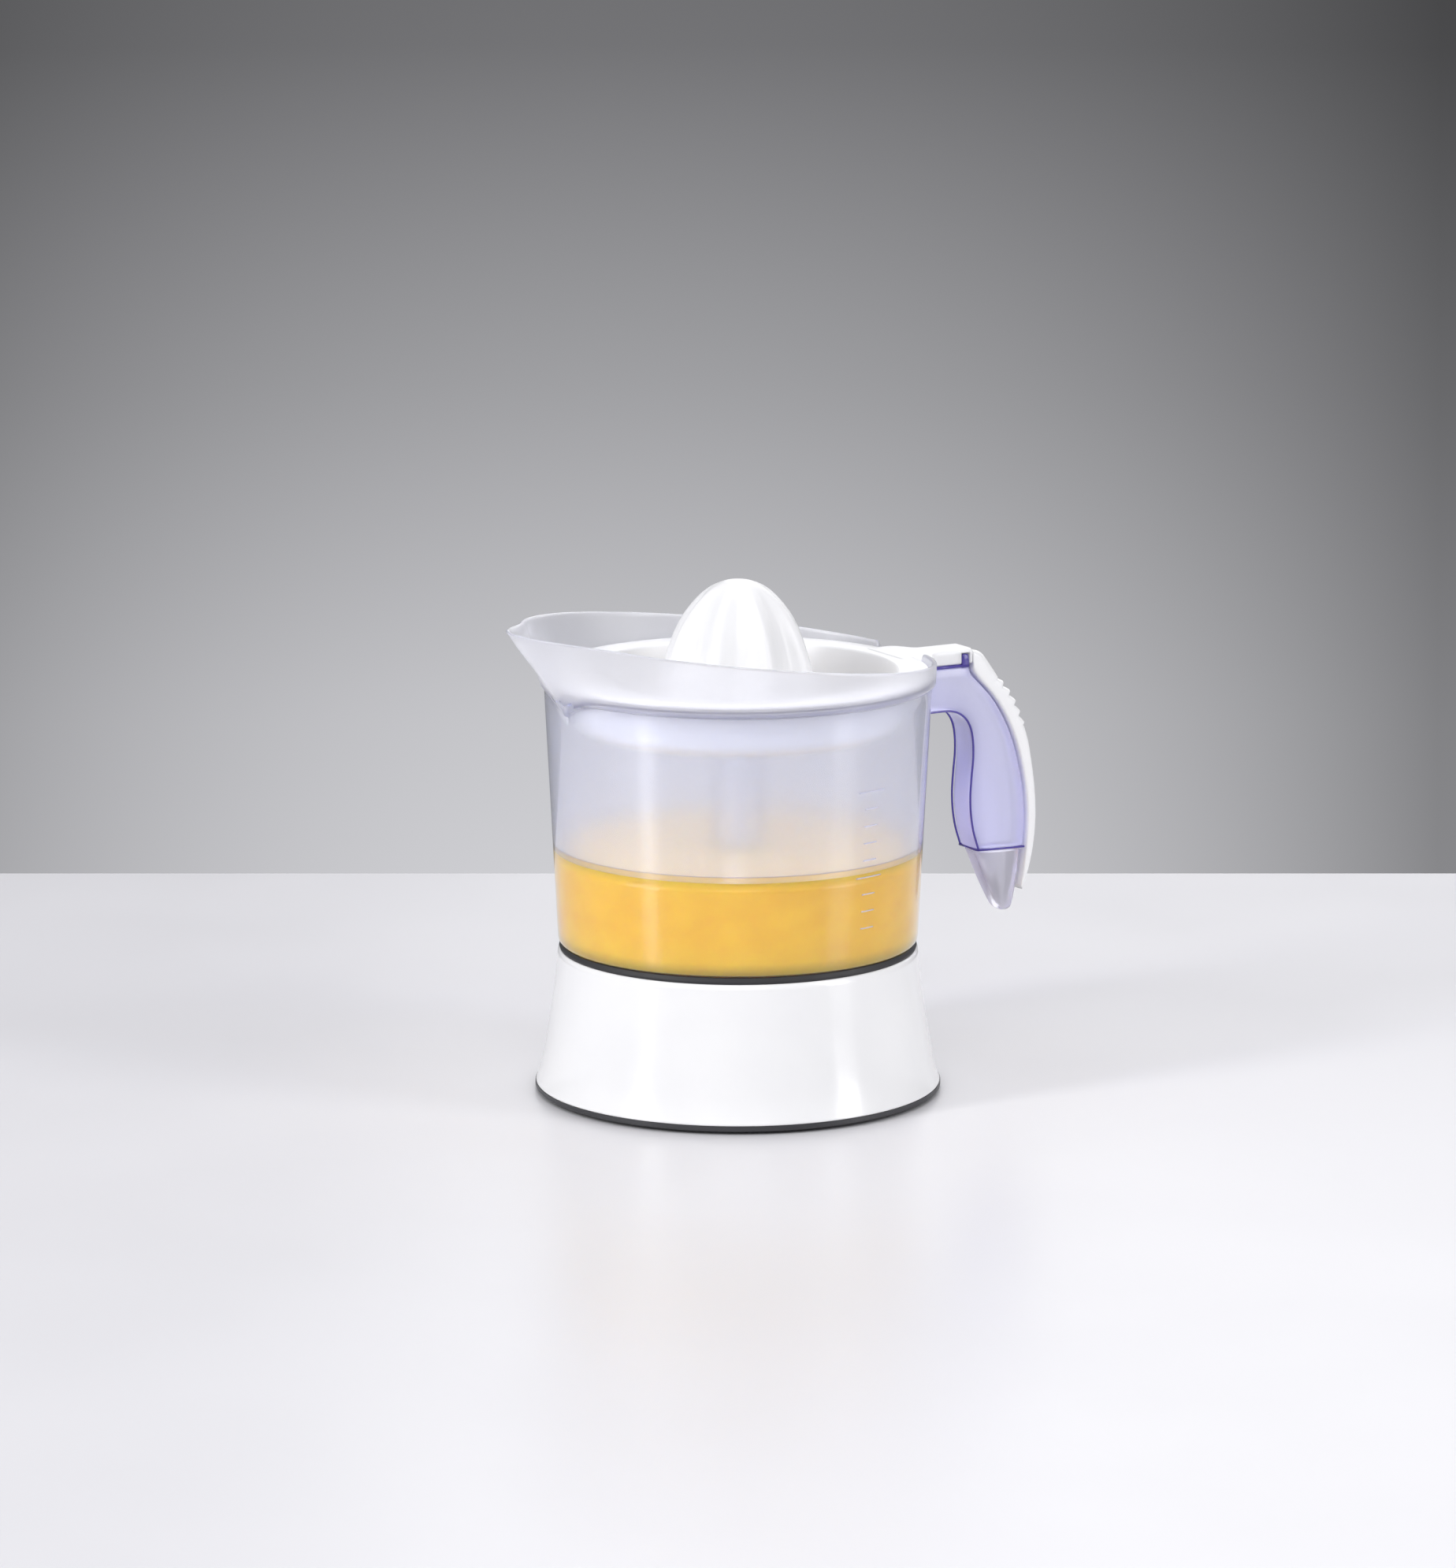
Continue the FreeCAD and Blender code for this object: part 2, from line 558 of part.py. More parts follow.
def output_gear():
    """Large gear whose hexagonal bore turns the spindle and lets it slide."""
    to_first = math.atan2(FIRST_Y, FIRST_X)
    wheel = gear(OUTPUT_TEETH, MODULE_2, *OUTPUT_GEAR_Z, to_first + math.pi / OUTPUT_TEETH)
    web_cuts = []
    for i in range(6):
        x, y = polar(18.5, 60 * i + 30)
        web_cuts.append(cyl(5.5, OUTPUT_GEAR_Z[0] - 1, OUTPUT_GEAR_Z[1] + 1, x, y))
    wheel = wheel.cut(Part.makeCompound(web_cuts))
    shoulder = cyl(9.0, LOWER_PLATE_Z[1] + 0.4 + GAP, UPPER_PLATE_Z[0] - 0.4 - GAP)
    hub = cyl(HUB_R, LOWER_PLATE_Z[0] - 0.5, SPRING_Z[0])
    bore = hexagon(SPINDLE_FLATS + 2 * FIT, 20, 80)
    return fuse([wheel, shoulder, hub]).cut(bore)


def return_spring():
    """Compression spring between the output gear's hub and the clip on the spindle."""
    z0, z1 = SPRING_Z[0] + SPRING_WIRE + 0.05, SPRING_Z[1] - SPRING_WIRE - 0.05
    helix = Part.makeHelix((z1 - z0) / SPRING_COILS, z1 - z0, SPRING_MEAN_R)
    helix.translate(vec(0, 0, z0))
    section = Part.Wire(Part.makeCircle(SPRING_WIRE, vec(SPRING_MEAN_R, 0, z0), Y_AXIS))
    return Part.Wire(helix).makePipeShell([section], True, True)


def spindle():
    """Hexagonal steel shaft with a turned tip below and a chamfered end above."""
    shaft = hexagon(SPINDLE_FLATS, SPINDLE_END_Z, SPINDLE_TOP_Z)
    corner = SPINDLE_FLATS / math.sqrt(3)
    chamfer = cyl(corner + 1, SPINDLE_TOP_Z - 1.5, SPINDLE_TOP_Z + 1).cut(
        cone_frustum(corner + 0.2, corner - 1.3, SPINDLE_TOP_Z - 1.5, SPINDLE_TOP_Z))
    tip = cone_frustum(1.1, 1.6, TIP_END_Z, SPINDLE_END_Z)
    groove = ring(CLIP_GROOVE_R, 6.0, SPRING_Z[1], SPRING_Z[1] + 1.0)
    return fuse([shaft, tip]).cut(Part.makeCompound([chamfer, groove]))


def spindle_clip():
    """Retaining clip in the spindle's groove, open at one side."""
    clip = ring(CLIP_GROOVE_R, 5.9, SPRING_Z[1], SPRING_Z[1] + 1.0)
    return clip.cut(box(0, 8, -2.4, 2.4, SPRING_Z[1] - 1, SPRING_Z[1] + 2))


def spindle_seal():
    """Rubber cap on the housing's collar, just clear of the turning spindle."""
    corner = SPINDLE_FLATS / math.sqrt(3)
    cap = ring(corner + GAP, TOWER_OUT_R, TOWER_TOP_Z, TOWER_TOP_Z + 1.4)
    plug = ring(corner + GAP, TOWER_IN_R, TOWER_TOP_Z - 2.0, TOWER_TOP_Z)
    return fuse([cap, plug])


# ------------------------------------------------------------------ base, start switch
def switch_lever():
    """Lever that the spindle's tip pushes down, and that presses the switch."""
    arm = box(-4.0, LEVER_PIVOT_X, -4.0, 4.0, TIP_END_Z - GAP - LEVER_T, TIP_END_Z - GAP)
    boss = Part.makeCylinder(LEVER_T, 8, vec(LEVER_PIVOT_X, -4, LEVER_PIVOT_Z), Y_AXIS)
    hole = Part.makeCylinder(LEVER_PIN_R + FIT, 12, vec(LEVER_PIVOT_X, -6, LEVER_PIVOT_Z), Y_AXIS)
    return fuse([arm, boss]).cut(hole)


def lever_pin():
    return Part.makeCylinder(LEVER_PIN_R, 13, vec(LEVER_PIVOT_X, -6.5, LEVER_PIVOT_Z), Y_AXIS)


def switch_bracket():
    """Two cheeks under the lower gear plate, for the lever's pin and the switch."""
    cheeks = []
    for side in (-1, 1):
        y0, y1 = sorted((side * 5.0, side * 6.5))
        cheeks.append(box(-2.0, 20.0, y0, y1, 12.0, 26.0))
        cheeks.append(box(10.0, 20.0, y0, y1, 26.0, LOWER_PLATE_Z[0]))
    tie = box(18.5, 20.0, -6.5, 6.5, 12.0, 24.0)
    hole = Part.makeCylinder(LEVER_PIN_R, 16, vec(LEVER_PIVOT_X, -8, LEVER_PIVOT_Z), Y_AXIS)
    return fuse(cheeks + [tie]).cut(hole)


def microswitch():
    """Snap switch held between the bracket's cheeks."""
    body = box(-2.0, 18.0, -5.0, 5.0, 14.0, SWITCH_TOP_Z)
    half_x, half_y = BUTTON_HALF[0] + FIT, BUTTON_HALF[1] + FIT
    recess = box(BUTTON_X - half_x, BUTTON_X + half_x, -half_y, half_y, SWITCH_TOP_Z - 3, SWITCH_TOP_Z + 1)
    tags = [box(x, x + 0.8, -2.0, 2.0, 8.0, 14.0) for x in (0.0, 8.0, 16.0)]
    return fuse([body] + tags).cut(recess)


def switch_button():
    """Plunger of the snap switch."""
    half_x, half_y = BUTTON_HALF
    top = TIP_END_Z - 2 * GAP - LEVER_T
    return box(BUTTON_X - half_x, BUTTON_X + half_x, -half_y, half_y, SWITCH_TOP_Z - 1.4, top)


# ------------------------------------------------------------------------------- jug
def wall_r(z):
    """Outer radius of the jug's wall at a height."""
    share = (z - JUG_BOTTOM_Z) / (LEDGE_Z - JUG_BOTTOM_Z)
    return JUG_BOTTOM_R + (JUG_TOP_R - JUG_BOTTOM_R) * share


def collar_r(degrees, z, inset):
    """Collar radius at an angle from the spout and a height, moved in by inset."""
    angle = abs(degrees)
    height = z - LEDGE_Z
    radius = LEDGE_R + 0.05 * height
    broad = SPOUT_BROAD * min(1.0, height / 26.0)
    keel = wall_r(LEDGE_Z) + SPOUT_SLOPE * (z - SPOUT_APEX_Z)
    narrow = keel - radius - broad
    out = 0.0
    if angle < SPOUT_BROAD_DEG:
        out += broad * math.cos(math.radians(90 * angle / SPOUT_BROAD_DEG))
    if angle < SPOUT_NARROW_DEG:
        out += narrow * (1 - angle / SPOUT_NARROW_DEG) ** 2.4
    return radius + out - inset


def collar_outline(z, inset):
    """Closed plan outline of the collar at a height: two smooth halves with a point."""
    angles = (0, 3, 7, 12, 18, 25, 35, 48, 62, 78, 100, 130, 160, 180)
    halves = []
    for side in (1, -1):
        points = []
        for degrees in angles:
            radius = collar_r(degrees, z, inset)
            angle = math.radians(degrees)
            points.append(vec(-radius * math.cos(angle), side * radius * math.sin(angle), z))
        spline = Part.BSplineCurve()
        if side < 0:
            points.reverse()
        spline.interpolate(points)
        halves.append(spline.toShape())
    return Part.Wire(halves)


def collar_solid(z_start, inset):
    levels = [z_start, 172.0, 184.0, 198.0]
    return Part.makeLoft([collar_outline(z, inset) for z in levels], True, False)


def spout_keel(inset):
    """Wedge under the ledge, where the spout's keel runs down into the wall."""
    apex_r = wall_r(SPOUT_APEX_Z) - inset
    top_r = wall_r(LEDGE_Z) + SPOUT_SLOPE * (LEDGE_Z - SPOUT_APEX_Z) - inset
    half = 17.0
    left = polar(LEDGE_R - inset, 180 - half)
    right = polar(LEDGE_R - inset, 180 + half)
    inner = 60.0
    tip = vec(-top_r, 0, LEDGE_Z)
    apex = vec(-apex_r, 0, SPOUT_APEX_Z)
    a = vec(left[0], left[1], LEDGE_Z)
    b = vec(right[0], right[1], LEDGE_Z)
    back = vec(-inner, 0, LEDGE_Z)
    low = vec(-inner, 0, SPOUT_APEX_Z)
    faces = [
        Part.Face(Part.makePolygon([tip, a, apex, tip])),
        Part.Face(Part.makePolygon([tip, apex, b, tip])),
        Part.Face(Part.makePolygon([a, back, low, a])),
        Part.Face(Part.makePolygon([a, low, apex, a])),
        Part.Face(Part.makePolygon([b, low, back, b])),
        Part.Face(Part.makePolygon([b, apex, low, b])),
        Part.Face(Part.makePolygon([tip, b, back, a, tip])),
    ]
    return Part.Solid(Part.Shell(faces))


def above_rim():
    """Everything above the tilted rim plane."""
    slab = Part.makeBox(300, 300, 60, vec(-150, -150, 0))
    slab.rotate(ORIGIN, Y_AXIS, math.degrees(math.atan(RIM_TILT)))
    slab.translate(vec(0, 0, RIM_Z))
    return slab


def jug():
    """Clear jug with its hollow centre column, stepped collar and spout."""
    outside = spun([
        (0, JUG_BOTTOM_Z), (JUG_BOTTOM_R - 1.6, JUG_BOTTOM_Z), (JUG_BOTTOM_R - 0.4, JUG_BOTTOM_Z + 0.6),
        (JUG_BOTTOM_R + 0.1, JUG_BOTTOM_Z + 2.0), (JUG_TOP_R, LEDGE_Z - 1.0),
        (LEDGE_R - 0.3, LEDGE_Z), (LEDGE_R - 0.3, LEDGE_Z + 1), (0, LEDGE_Z + 1),
    ])
    outer = fuse([outside, collar_solid(LEDGE_Z, 0), spout_keel(0)])
    wall_top = wall_r(LEDGE_Z) - JUG_WALL
    foot = JUG_BOTTOM_R - JUG_WALL
    inside = spun([
        (0, JUG_FLOOR_Z), (foot - 4.0, JUG_FLOOR_Z), (foot - 1.2, JUG_FLOOR_Z + 1.2),
        (foot, JUG_FLOOR_Z + 5.0), (wall_top, LEDGE_Z + 1.9), (0, LEDGE_Z + 1.9),
    ])
    shelf_z = LEDGE_Z + 1.8
    column = cone_frustum(*COLUMN_R, JUG_FLOOR_Z - 1.5, COLUMN_TOP_Z)
    shell = outer.cut(inside).cut(collar_solid(shelf_z, JUG_WALL)).cut(spout_keel(JUG_WALL))
    shell = shell.cut(above_rim())
    notch = box(60, 90, -NOTCH_HALF_W, NOTCH_HALF_W, shelf_z, 200)
    shell = shell.cut(notch)
    recess = cyl(PLATEAU_R + 0.6, JUG_BOTTOM_Z - 1, JUG_FLOOR_Z - JUG_WALL)
    column_bore = cone_frustum(*COLUMN_BORE_R, JUG_BOTTOM_Z - 1, COLUMN_TOP_Z + 0.01)
    return fuse([shell.cut(recess), column]).cut(column_bore)


# ---------------------------------------------------------------------------- handle
def handle_shell(jug_shape):
    """Violet translucent handle: an arm and a grip, hollow and open along its back."""
    inside = curve(GRIP_INSIDE)
    back = curve(GRIP_BACK)
    start_x = wall_r(150) - 2.0
    frame = lines([GRIP_BACK[0], (GRIP_BACK[0][0] - 0.6, ARM_TOP_Z), (start_x, ARM_TOP_Z),
                   (start_x, ARM_BOTTOM_Z), GRIP_INSIDE[0]])
    end = lines([GRIP_INSIDE[-1], GRIP_BACK[-1]])
    body = plate_y([inside, back] + frame + end, HANDLE_W / 2)
    body = rounded(body, 1.6, lambda edge: edge.BoundBox.YLength < 0.01 and edge.Length > 30)
    pocket_in = [(x + 2.4, z + 0.3) for x, z in GRIP_INSIDE[2:-1]]
    pocket_back = [(x + 0.5, z + 0.5) for x, z in GRIP_BACK[1:-1]]
    pocket = plate_y(
        [curve(pocket_in), curve(pocket_back)]
        + lines([pocket_in[0], pocket_back[0]]) + lines([pocket_in[-1], pocket_back[-1]]),
        HANDLE_W / 2 - HANDLE_WALL)
    lugs = []
    for side in (-1, 1):
        y0, y1 = sorted((side * (HANDLE_W / 2), side * (HANDLE_W / 2 - SKIRT_W)))
        lugs.append(box(*LUG_X, y0, y1, ARM_TOP_Z - 1.0, LUG_TOP_Z))
    trimmed = fuse([body.cut(pocket)] + lugs).cut(jug_shape)
    return max(trimmed.Solids, key=lambda solid: solid.Volume)


def handle_tip(cover):
    """Clear tapered end of the handle, cut back to meet the cover."""
    x0, x1 = GRIP_INSIDE[-1][0], GRIP_BACK[-1][0] - 0.4
    top0, top1 = GRIP_INSIDE[-1][1] - 0.1, GRIP_BACK[-1][1] - 0.1
    outline = lines([(x0, top0), (x1, top1)])
    outline.append(curve([(x1, top1), (127.9, 76.0), (126.4, 67.5), (124.9, 61.0)]))
    outline += lines([(124.9, 61.0), (123.6, TIP_Z), (119.8, TIP_Z), (118.4, 60.0)])
    outline.append(curve([(118.4, 60.0), (114.6, 67.0), (110.4, 76.0), (x0, top0)]))
    body = plate_y(outline, HANDLE_W / 2 - 0.8)
    taper = []
    for side in (-1, 1):
        wedge = Part.makePolygon([
            vec(90, side * (HANDLE_W / 2 - 0.8), top0 - 6), vec(90, side * 4.4, TIP_Z - 1),
            vec(90, side * 20, TIP_Z - 1), vec(90, side * 20, top0 - 6),
            vec(90, side * (HANDLE_W / 2 - 0.8), top0 - 6)])
        taper.append(Part.Face(wedge).extrude(vec(60, 0, 0)))
    return body.cut(Part.makeCompound(taper + [cover]))


def handle_cover():
    """White cover along the handle's back, with thumb ridges near its top."""
    front = [(SEAM_X, 160.6), (SEAM_X, 157.6)] + [(x + 0.15, z + 0.15) for x, z in GRIP_BACK[1:]]
    front += [(127.9, 76.0), (126.6, 68.6)]
    inside = curve(front[1:])
    top = lines([front[1], (SEAM_X, STRAINER_TOP_Z - 0.4)])
    crest = curve([(SEAM_X, STRAINER_TOP_Z - 0.4), (108.4, 165.2), (113.0, 158.6), (116.0, 154.4)])
    ridge_start = (116.0, 154.4)
    ridge_end = COVER_OUTSIDE[0]
    points = [ridge_start]
    for i in range(RIDGES):
        share = (i + 1) / RIDGES
        x = ridge_start[0] + (ridge_end[0] - ridge_start[0]) * share
        z = ridge_start[1] + (ridge_end[1] - ridge_start[1]) * share
        bow = 2.2 * math.sin(math.pi * share)
        points.append((x + bow + 0.9, z + bow * 0.6 + 1.4))
        points.append((x + bow, z + bow * 0.6))
    points[-1] = ridge_end
    outside = curve(COVER_OUTSIDE)
    foot = lines([COVER_OUTSIDE[-1], front[-1]])
    edges = [inside, crest, outside] + top + lines(points) + foot
    return plate_y(edges, HANDLE_W / 2)


# -------------------------------------------------------------------------- strainer
def strainer():
    """White bowl with a slotted floor, a hub, a flange and an arm over the handle."""
    floor_top = BOWL_FLOOR_Z + 2.0
    flange_low = STRAINER_TOP_Z - 2.2
    bowl = spun([
        (12.5, BOWL_FLOOR_Z), (56.0, BOWL_FLOOR_Z), (61.0, BOWL_FLOOR_Z + 1.4),
        (63.8, BOWL_FLOOR_Z + 5.0), (BOWL_R, flange_low), (STRAINER_FLANGE_R, flange_low),
        (STRAINER_FLANGE_R, STRAINER_TOP_Z), (BOWL_R - 2.6, STRAINER_TOP_Z),
        (61.6, BOWL_FLOOR_Z + 6.4), (59.4, BOWL_FLOOR_Z + 3.4), (55.6, floor_top),
        (12.5, floor_top),
    ])
    hub = spun([
        (10.2, BOWL_FLOOR_Z), (13.5, BOWL_FLOOR_Z), (12.2, HUB_TOP_Z), (BUSH_R + FIT, HUB_TOP_Z),
        (BUSH_R + FIT, HUB_TOP_Z - 4), (10.2, HUB_TOP_Z - 4),
    ])
    slots = []
    for i in range(36):
        long_slot = box(34.0, 55.0, -SLOT_HALF_W, SLOT_HALF_W, BOWL_FLOOR_Z - 1, floor_top + 1)
        long_slot.rotate(ORIGIN, Z_AXIS, 10 * i)
        slots.append(long_slot)
    for i in range(24):
        short_slot = box(18.5, 30.5, -SLOT_HALF_W, SLOT_HALF_W, BOWL_FLOOR_Z - 1, floor_top + 1)
        short_slot.rotate(ORIGIN, Z_AXIS, 15 * i)
        slots.append(short_slot)
    arm = strainer_arm()
    body = bowl.cut(Part.makeCompound(slots))
    return fuse([body, hub, arm])


def strainer_arm():
    """Channel that runs from the flange through the rim's notch, over the handle."""
    end_x = SEAM_X - 0.4
    neck = HANDLE_W / 2
    root_half = NOTCH_HALF_W - 1.0
    points = [(66.0, root_half), (80.0, root_half), (87.0, neck), (end_x, neck)]
    plan = [vec(x, y, 0) for x, y in points] + [vec(x, -y, 0) for x, y in reversed(points)]
    face = Part.Face(Part.makePolygon(plan + plan[:1]))
    low = ARM_TOP_Z + 0.35
    upper = face.copy()
    upper.translate(vec(0, 0, STRAINER_TOP_Z - ARM_SKIN))
    block = upper.extrude(vec(0, 0, ARM_SKIN))
    skirts = []
    for side in (-1, 1):
        y0, y1 = sorted((side * neck, side * (neck - SKIRT_W)))
        skirts.append(box(80.5, end_x, y0, y1, low, STRAINER_TOP_Z - 1))
    tail = box(end_x - 1.6, end_x, -neck, neck, low, STRAINER_TOP_Z - 1)
    lug_room = []
    for side in (-1, 1):
        y0, y1 = sorted((side * (neck + 1), side * (neck - SKIRT_W - GAP)))
        lug_room.append(box(LUG_X[0] - 0.4, LUG_X[1] + 0.4, y0, y1, low - 1, LUG_TOP_Z + GAP))
    return fuse([block, tail] + skirts).cut(Part.makeCompound(lug_room))


# ------------------------------------------------------------------------ cone drive
def hub_bush():
    """Flanged bush that turns in the strainer's hub and carries the driver."""
    sleeve = cyl(BUSH_R, HUB_TOP_Z - 4.6, HUB_TOP_Z + GAP)
    flange = cyl(10.0, HUB_TOP_Z + GAP, HUB_TOP_Z + GAP + 1.5)
    return fuse([sleeve, flange]).cut(hexagon(DRIVER_FLATS + 2 * FIT, 140, 180))


def cone_driver():
    """Hexagonal driver that sits on the spindle's end and turns the cone."""
    body = hexagon(DRIVER_FLATS, *DRIVER_Z)
    corner = DRIVER_FLATS / math.sqrt(3)
    chamfer = cyl(corner + 1, DRIVER_Z[1] - 1.5, DRIVER_Z[1] + 1).cut(
        cone_frustum(corner + 0.2, corner - 1.3, DRIVER_Z[1] - 1.5, DRIVER_Z[1]))
    socket = hexagon(SPINDLE_FLATS + 2 * FIT, DRIVER_Z[0] - 1, SPINDLE_TOP_Z + 0.05)
    return body.cut(Part.makeCompound([chamfer, socket]))


def cone():
    """Ribbed reaming cone, hollow, with a hexagonal socket and a skirt lip."""
    def dome(inset, low):
        side = [(r * (1 - inset), z - 14 * inset) for r, z in CONE_PROFILE]
        last = side[-1]
        edges = [curve(side)] + lines([last, (last[0] + 2.2, low), (0, low), side[0]])
        return Part.Face(Part.Wire(Part.__sortEdges__(edges))).revolve(ORIGIN, Z_AXIS, 360)

    core = dome(0.10, CONE_SKIRT_Z)
    full = dome(0.0, CONE_SKIRT_Z)
    blades = []
    for i in range(CONE_RIBS):
        blade = box(0, 40, -CONE_RIB_HALF_W, CONE_RIB_HALF_W, CONE_SKIRT_Z, CONE_TOP_Z + 1)
        blade.rotate(ORIGIN, Z_AXIS, 360 / CONE_RIBS * i + CONE_RIB_ANGLE)
        blades.append(blade)
    ribs = full.common(fuse(blades))
    lip = ring(28.0, CONE_LIP_R, CONE_SKIRT_Z, CONE_SKIRT_Z + 1.8)
    hollow = dome(0.19, CONE_SKIRT_Z - 1)
    boss = cyl(9.6, HUB_TOP_Z + PRESS_TRAVEL + 2.4, DRIVER_Z[1] + 3.0)
    shell = fuse([core, ribs, lip]).cut(hollow)
    webs = []
    for i in range(4):
        web = box(0, 27, -0.9, 0.9, DRIVER_Z[1] - 6, DRIVER_Z[1] + 2)
        web.rotate(ORIGIN, Z_AXIS, 45 + 90 * i)
        webs.append(web.common(core))
    socket = hexagon(DRIVER_FLATS + 2 * FIT, 150, DRIVER_Z[1] + 0.1)
    return fuse([shell, boss] + webs).cut(socket)


# ---------------------------------------------------------------------------- export
def save(name, shape):
    shape.exportStep("parts/" + name + ".step")
    solids = len(shape.Solids)
    print(f"{name:18s} solids {solids}  valid {shape.isValid()}  volume {shape.Volume / 1000:8.2f} cm3")


def main():
    os.makedirs("parts", exist_ok=True)
    housing = base_housing()
    jug_shape = jug()
    cover = handle_cover()
    parts = {
        "base_housing": housing,
        "cord_grommet": cord_grommet(housing),
        "seat_ring": seat_ring(),
        "bottom_cover": bottom_cover(),
        "foot_ring": foot_ring(),
        "cover_screws": cover_screws(),
        "lower_plate": lower_plate(),
        "upper_plate": upper_plate(),
        "plate_posts": plate_posts(),
        "plate_screws": plate_screws(),
        "lower_output_bush": output_bush(LOWER_PLATE_Z),
        "upper_output_bush": output_bush(UPPER_PLATE_Z),
        "stator_core": stator_core(),
        "left_bobbin": bobbin(-1),
        "right_bobbin": bobbin(1),
        "left_winding": winding(-1),
        "right_winding": winding(1),
        "motor_bracket": motor_bracket(),
        "rotor_bushes": rotor_bushes(),
        "stator_screws": stator_screws(),
        "rotor_magnet": rotor_magnet(),
        "rotor_shaft": rotor_shaft(),
        "rotor_pinion": rotor_pinion(),
        "first_gear": first_gear(),
        "first_gear_axle": first_gear_axle(),
        "output_gear": output_gear(),
        "return_spring": return_spring(),
        "spindle": spindle(),
        "spindle_clip": spindle_clip(),
        "spindle_seal": spindle_seal(),
        "switch_lever": switch_lever(),
        "lever_pin": lever_pin(),
        "switch_bracket": switch_bracket(),
        "microswitch": microswitch(),
        "switch_button": switch_button(),
        "jug": jug_shape,
        "handle_shell": handle_shell(jug_shape),
        "handle_tip": handle_tip(cover),
        "handle_cover": cover,
        "strainer": strainer(),
        "hub_bush": hub_bush(),
        "cone_driver": cone_driver(),
        "cone": cone(),
    }
    for name, shape in parts.items():
        save(name, shape)


main()
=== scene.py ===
import math

import bmesh
import bpy
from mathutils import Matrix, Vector


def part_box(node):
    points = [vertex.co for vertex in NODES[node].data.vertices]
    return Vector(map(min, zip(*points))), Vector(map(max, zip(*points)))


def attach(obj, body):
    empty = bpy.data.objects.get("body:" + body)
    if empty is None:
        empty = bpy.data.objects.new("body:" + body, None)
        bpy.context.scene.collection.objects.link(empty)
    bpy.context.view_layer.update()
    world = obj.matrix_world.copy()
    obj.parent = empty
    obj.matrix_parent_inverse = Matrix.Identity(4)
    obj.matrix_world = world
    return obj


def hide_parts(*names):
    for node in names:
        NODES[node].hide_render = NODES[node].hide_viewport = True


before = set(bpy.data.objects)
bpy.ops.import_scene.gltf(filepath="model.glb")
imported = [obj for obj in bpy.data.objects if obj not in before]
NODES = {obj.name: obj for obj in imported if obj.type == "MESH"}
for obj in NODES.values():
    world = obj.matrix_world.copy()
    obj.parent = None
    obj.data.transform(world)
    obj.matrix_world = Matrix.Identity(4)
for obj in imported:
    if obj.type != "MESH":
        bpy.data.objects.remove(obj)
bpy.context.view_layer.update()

MM = 0.001
MERGE_DISTANCE = 1e-7     # metres

# ------------------------------------------------------------------ sizes, millimetres


def node_box(name):
    """Lowest and highest corner of a CAD node, in millimetres."""
    low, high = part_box(name)
    return [v / MM for v in low], [v / MM for v in high]


HOUSING_LOW, HOUSING_HIGH = node_box("base_housing")
SEAT_LOW, SEAT_HIGH = node_box("seat_ring")
JUG_LOW, _ = node_box("jug")
STRAINER_LOW, STRAINER_HIGH = node_box("strainer")
HANDLE_LOW, HANDLE_HIGH = node_box("handle_shell")
COVER_PIECE_LOW, _ = node_box("handle_cover")
CONE_LOW, CONE_HIGH = node_box("cone")

DECK_Z = SEAT_LOW[2]
PLATEAU_Z = DECK_Z + 3.6
PLATEAU_R = 67.2
HOUSING_WALL = 2.2
TOWER_R = (6.5, 7.9)

JUG_WALL = 2.0
JUG_BOTTOM_R = 70.6
JUG_TOP_R = 75.9
LEDGE_Z = JUG_LOW[2] + 103.0
LEDGE_R = 77.3
FLOOR_Z = PLATEAU_Z + 1.3  # upper face of the floor
FLOOR_T = 1.0
MOAT_Z = JUG_LOW[2] + 1.0   # narrow moat between the floor and the wall
MOAT_W = 0.8
SHELF_LIFT = 1.8          # the inner shelf lies this much above the outer ledge
RIM_Z = 178.1
RIM_TILT = 0.117
SPOUT_DIP = 6.4           # how far the ledge dips under the spout
SPOUT_DIP_DEG = 17.0
SPOUT_SLOPE = 0.70
SPOUT_BROAD = 8.0
SPOUT_BROAD_DEG = 80.0
SPOUT_NARROW_DEG = 27.0
NOTCH_DEG = 12.7          # half opening of the rim for the strainer's arm
COLUMN_R = (11.2, 9.3)    # centre column, at the floor and at its top
COLUMN_BORE = (9.0, 7.4)
COLUMN_TOP_Z = 152.0
JUICE_Z = 97.0
WET_EDGE = 2.5            # the wall is clear this far above the juice

HALF_W = (HANDLE_HIGH[1] - HANDLE_LOW[1]) / 2
ARM_TOP_Z = 160.8
ARM_BOTTOM_Z = 142.8
SEAM_X = COVER_PIECE_LOW[0]
STRAINER_TOP_Z = STRAINER_HIGH[2]
STRAINER_FLOOR_Z = STRAINER_LOW[2]


# ---------------------------------------------------------------------------- geometry
def finish_mesh(name, verts, faces):
    """Smooth-shaded object of points in millimetres."""
    mesh = bpy.data.meshes.new(name)
    mesh.from_pydata([Vector(v) * MM for v in verts], [], faces)
    bm = bmesh.new()
    bm.from_mesh(mesh)
    bmesh.ops.remove_doubles(bm, verts=bm.verts, dist=MERGE_DISTANCE)
    bmesh.ops.dissolve_degenerate(bm, edges=bm.edges, dist=MERGE_DISTANCE)
    bmesh.ops.recalc_face_normals(bm, faces=bm.faces)
    for face in bm.faces:
        face.smooth = True
    bm.to_mesh(mesh)
    bm.free()
    mesh.validate()
    piece = bpy.data.objects.new(name, mesh)
    bpy.context.scene.collection.objects.link(piece)
    return piece


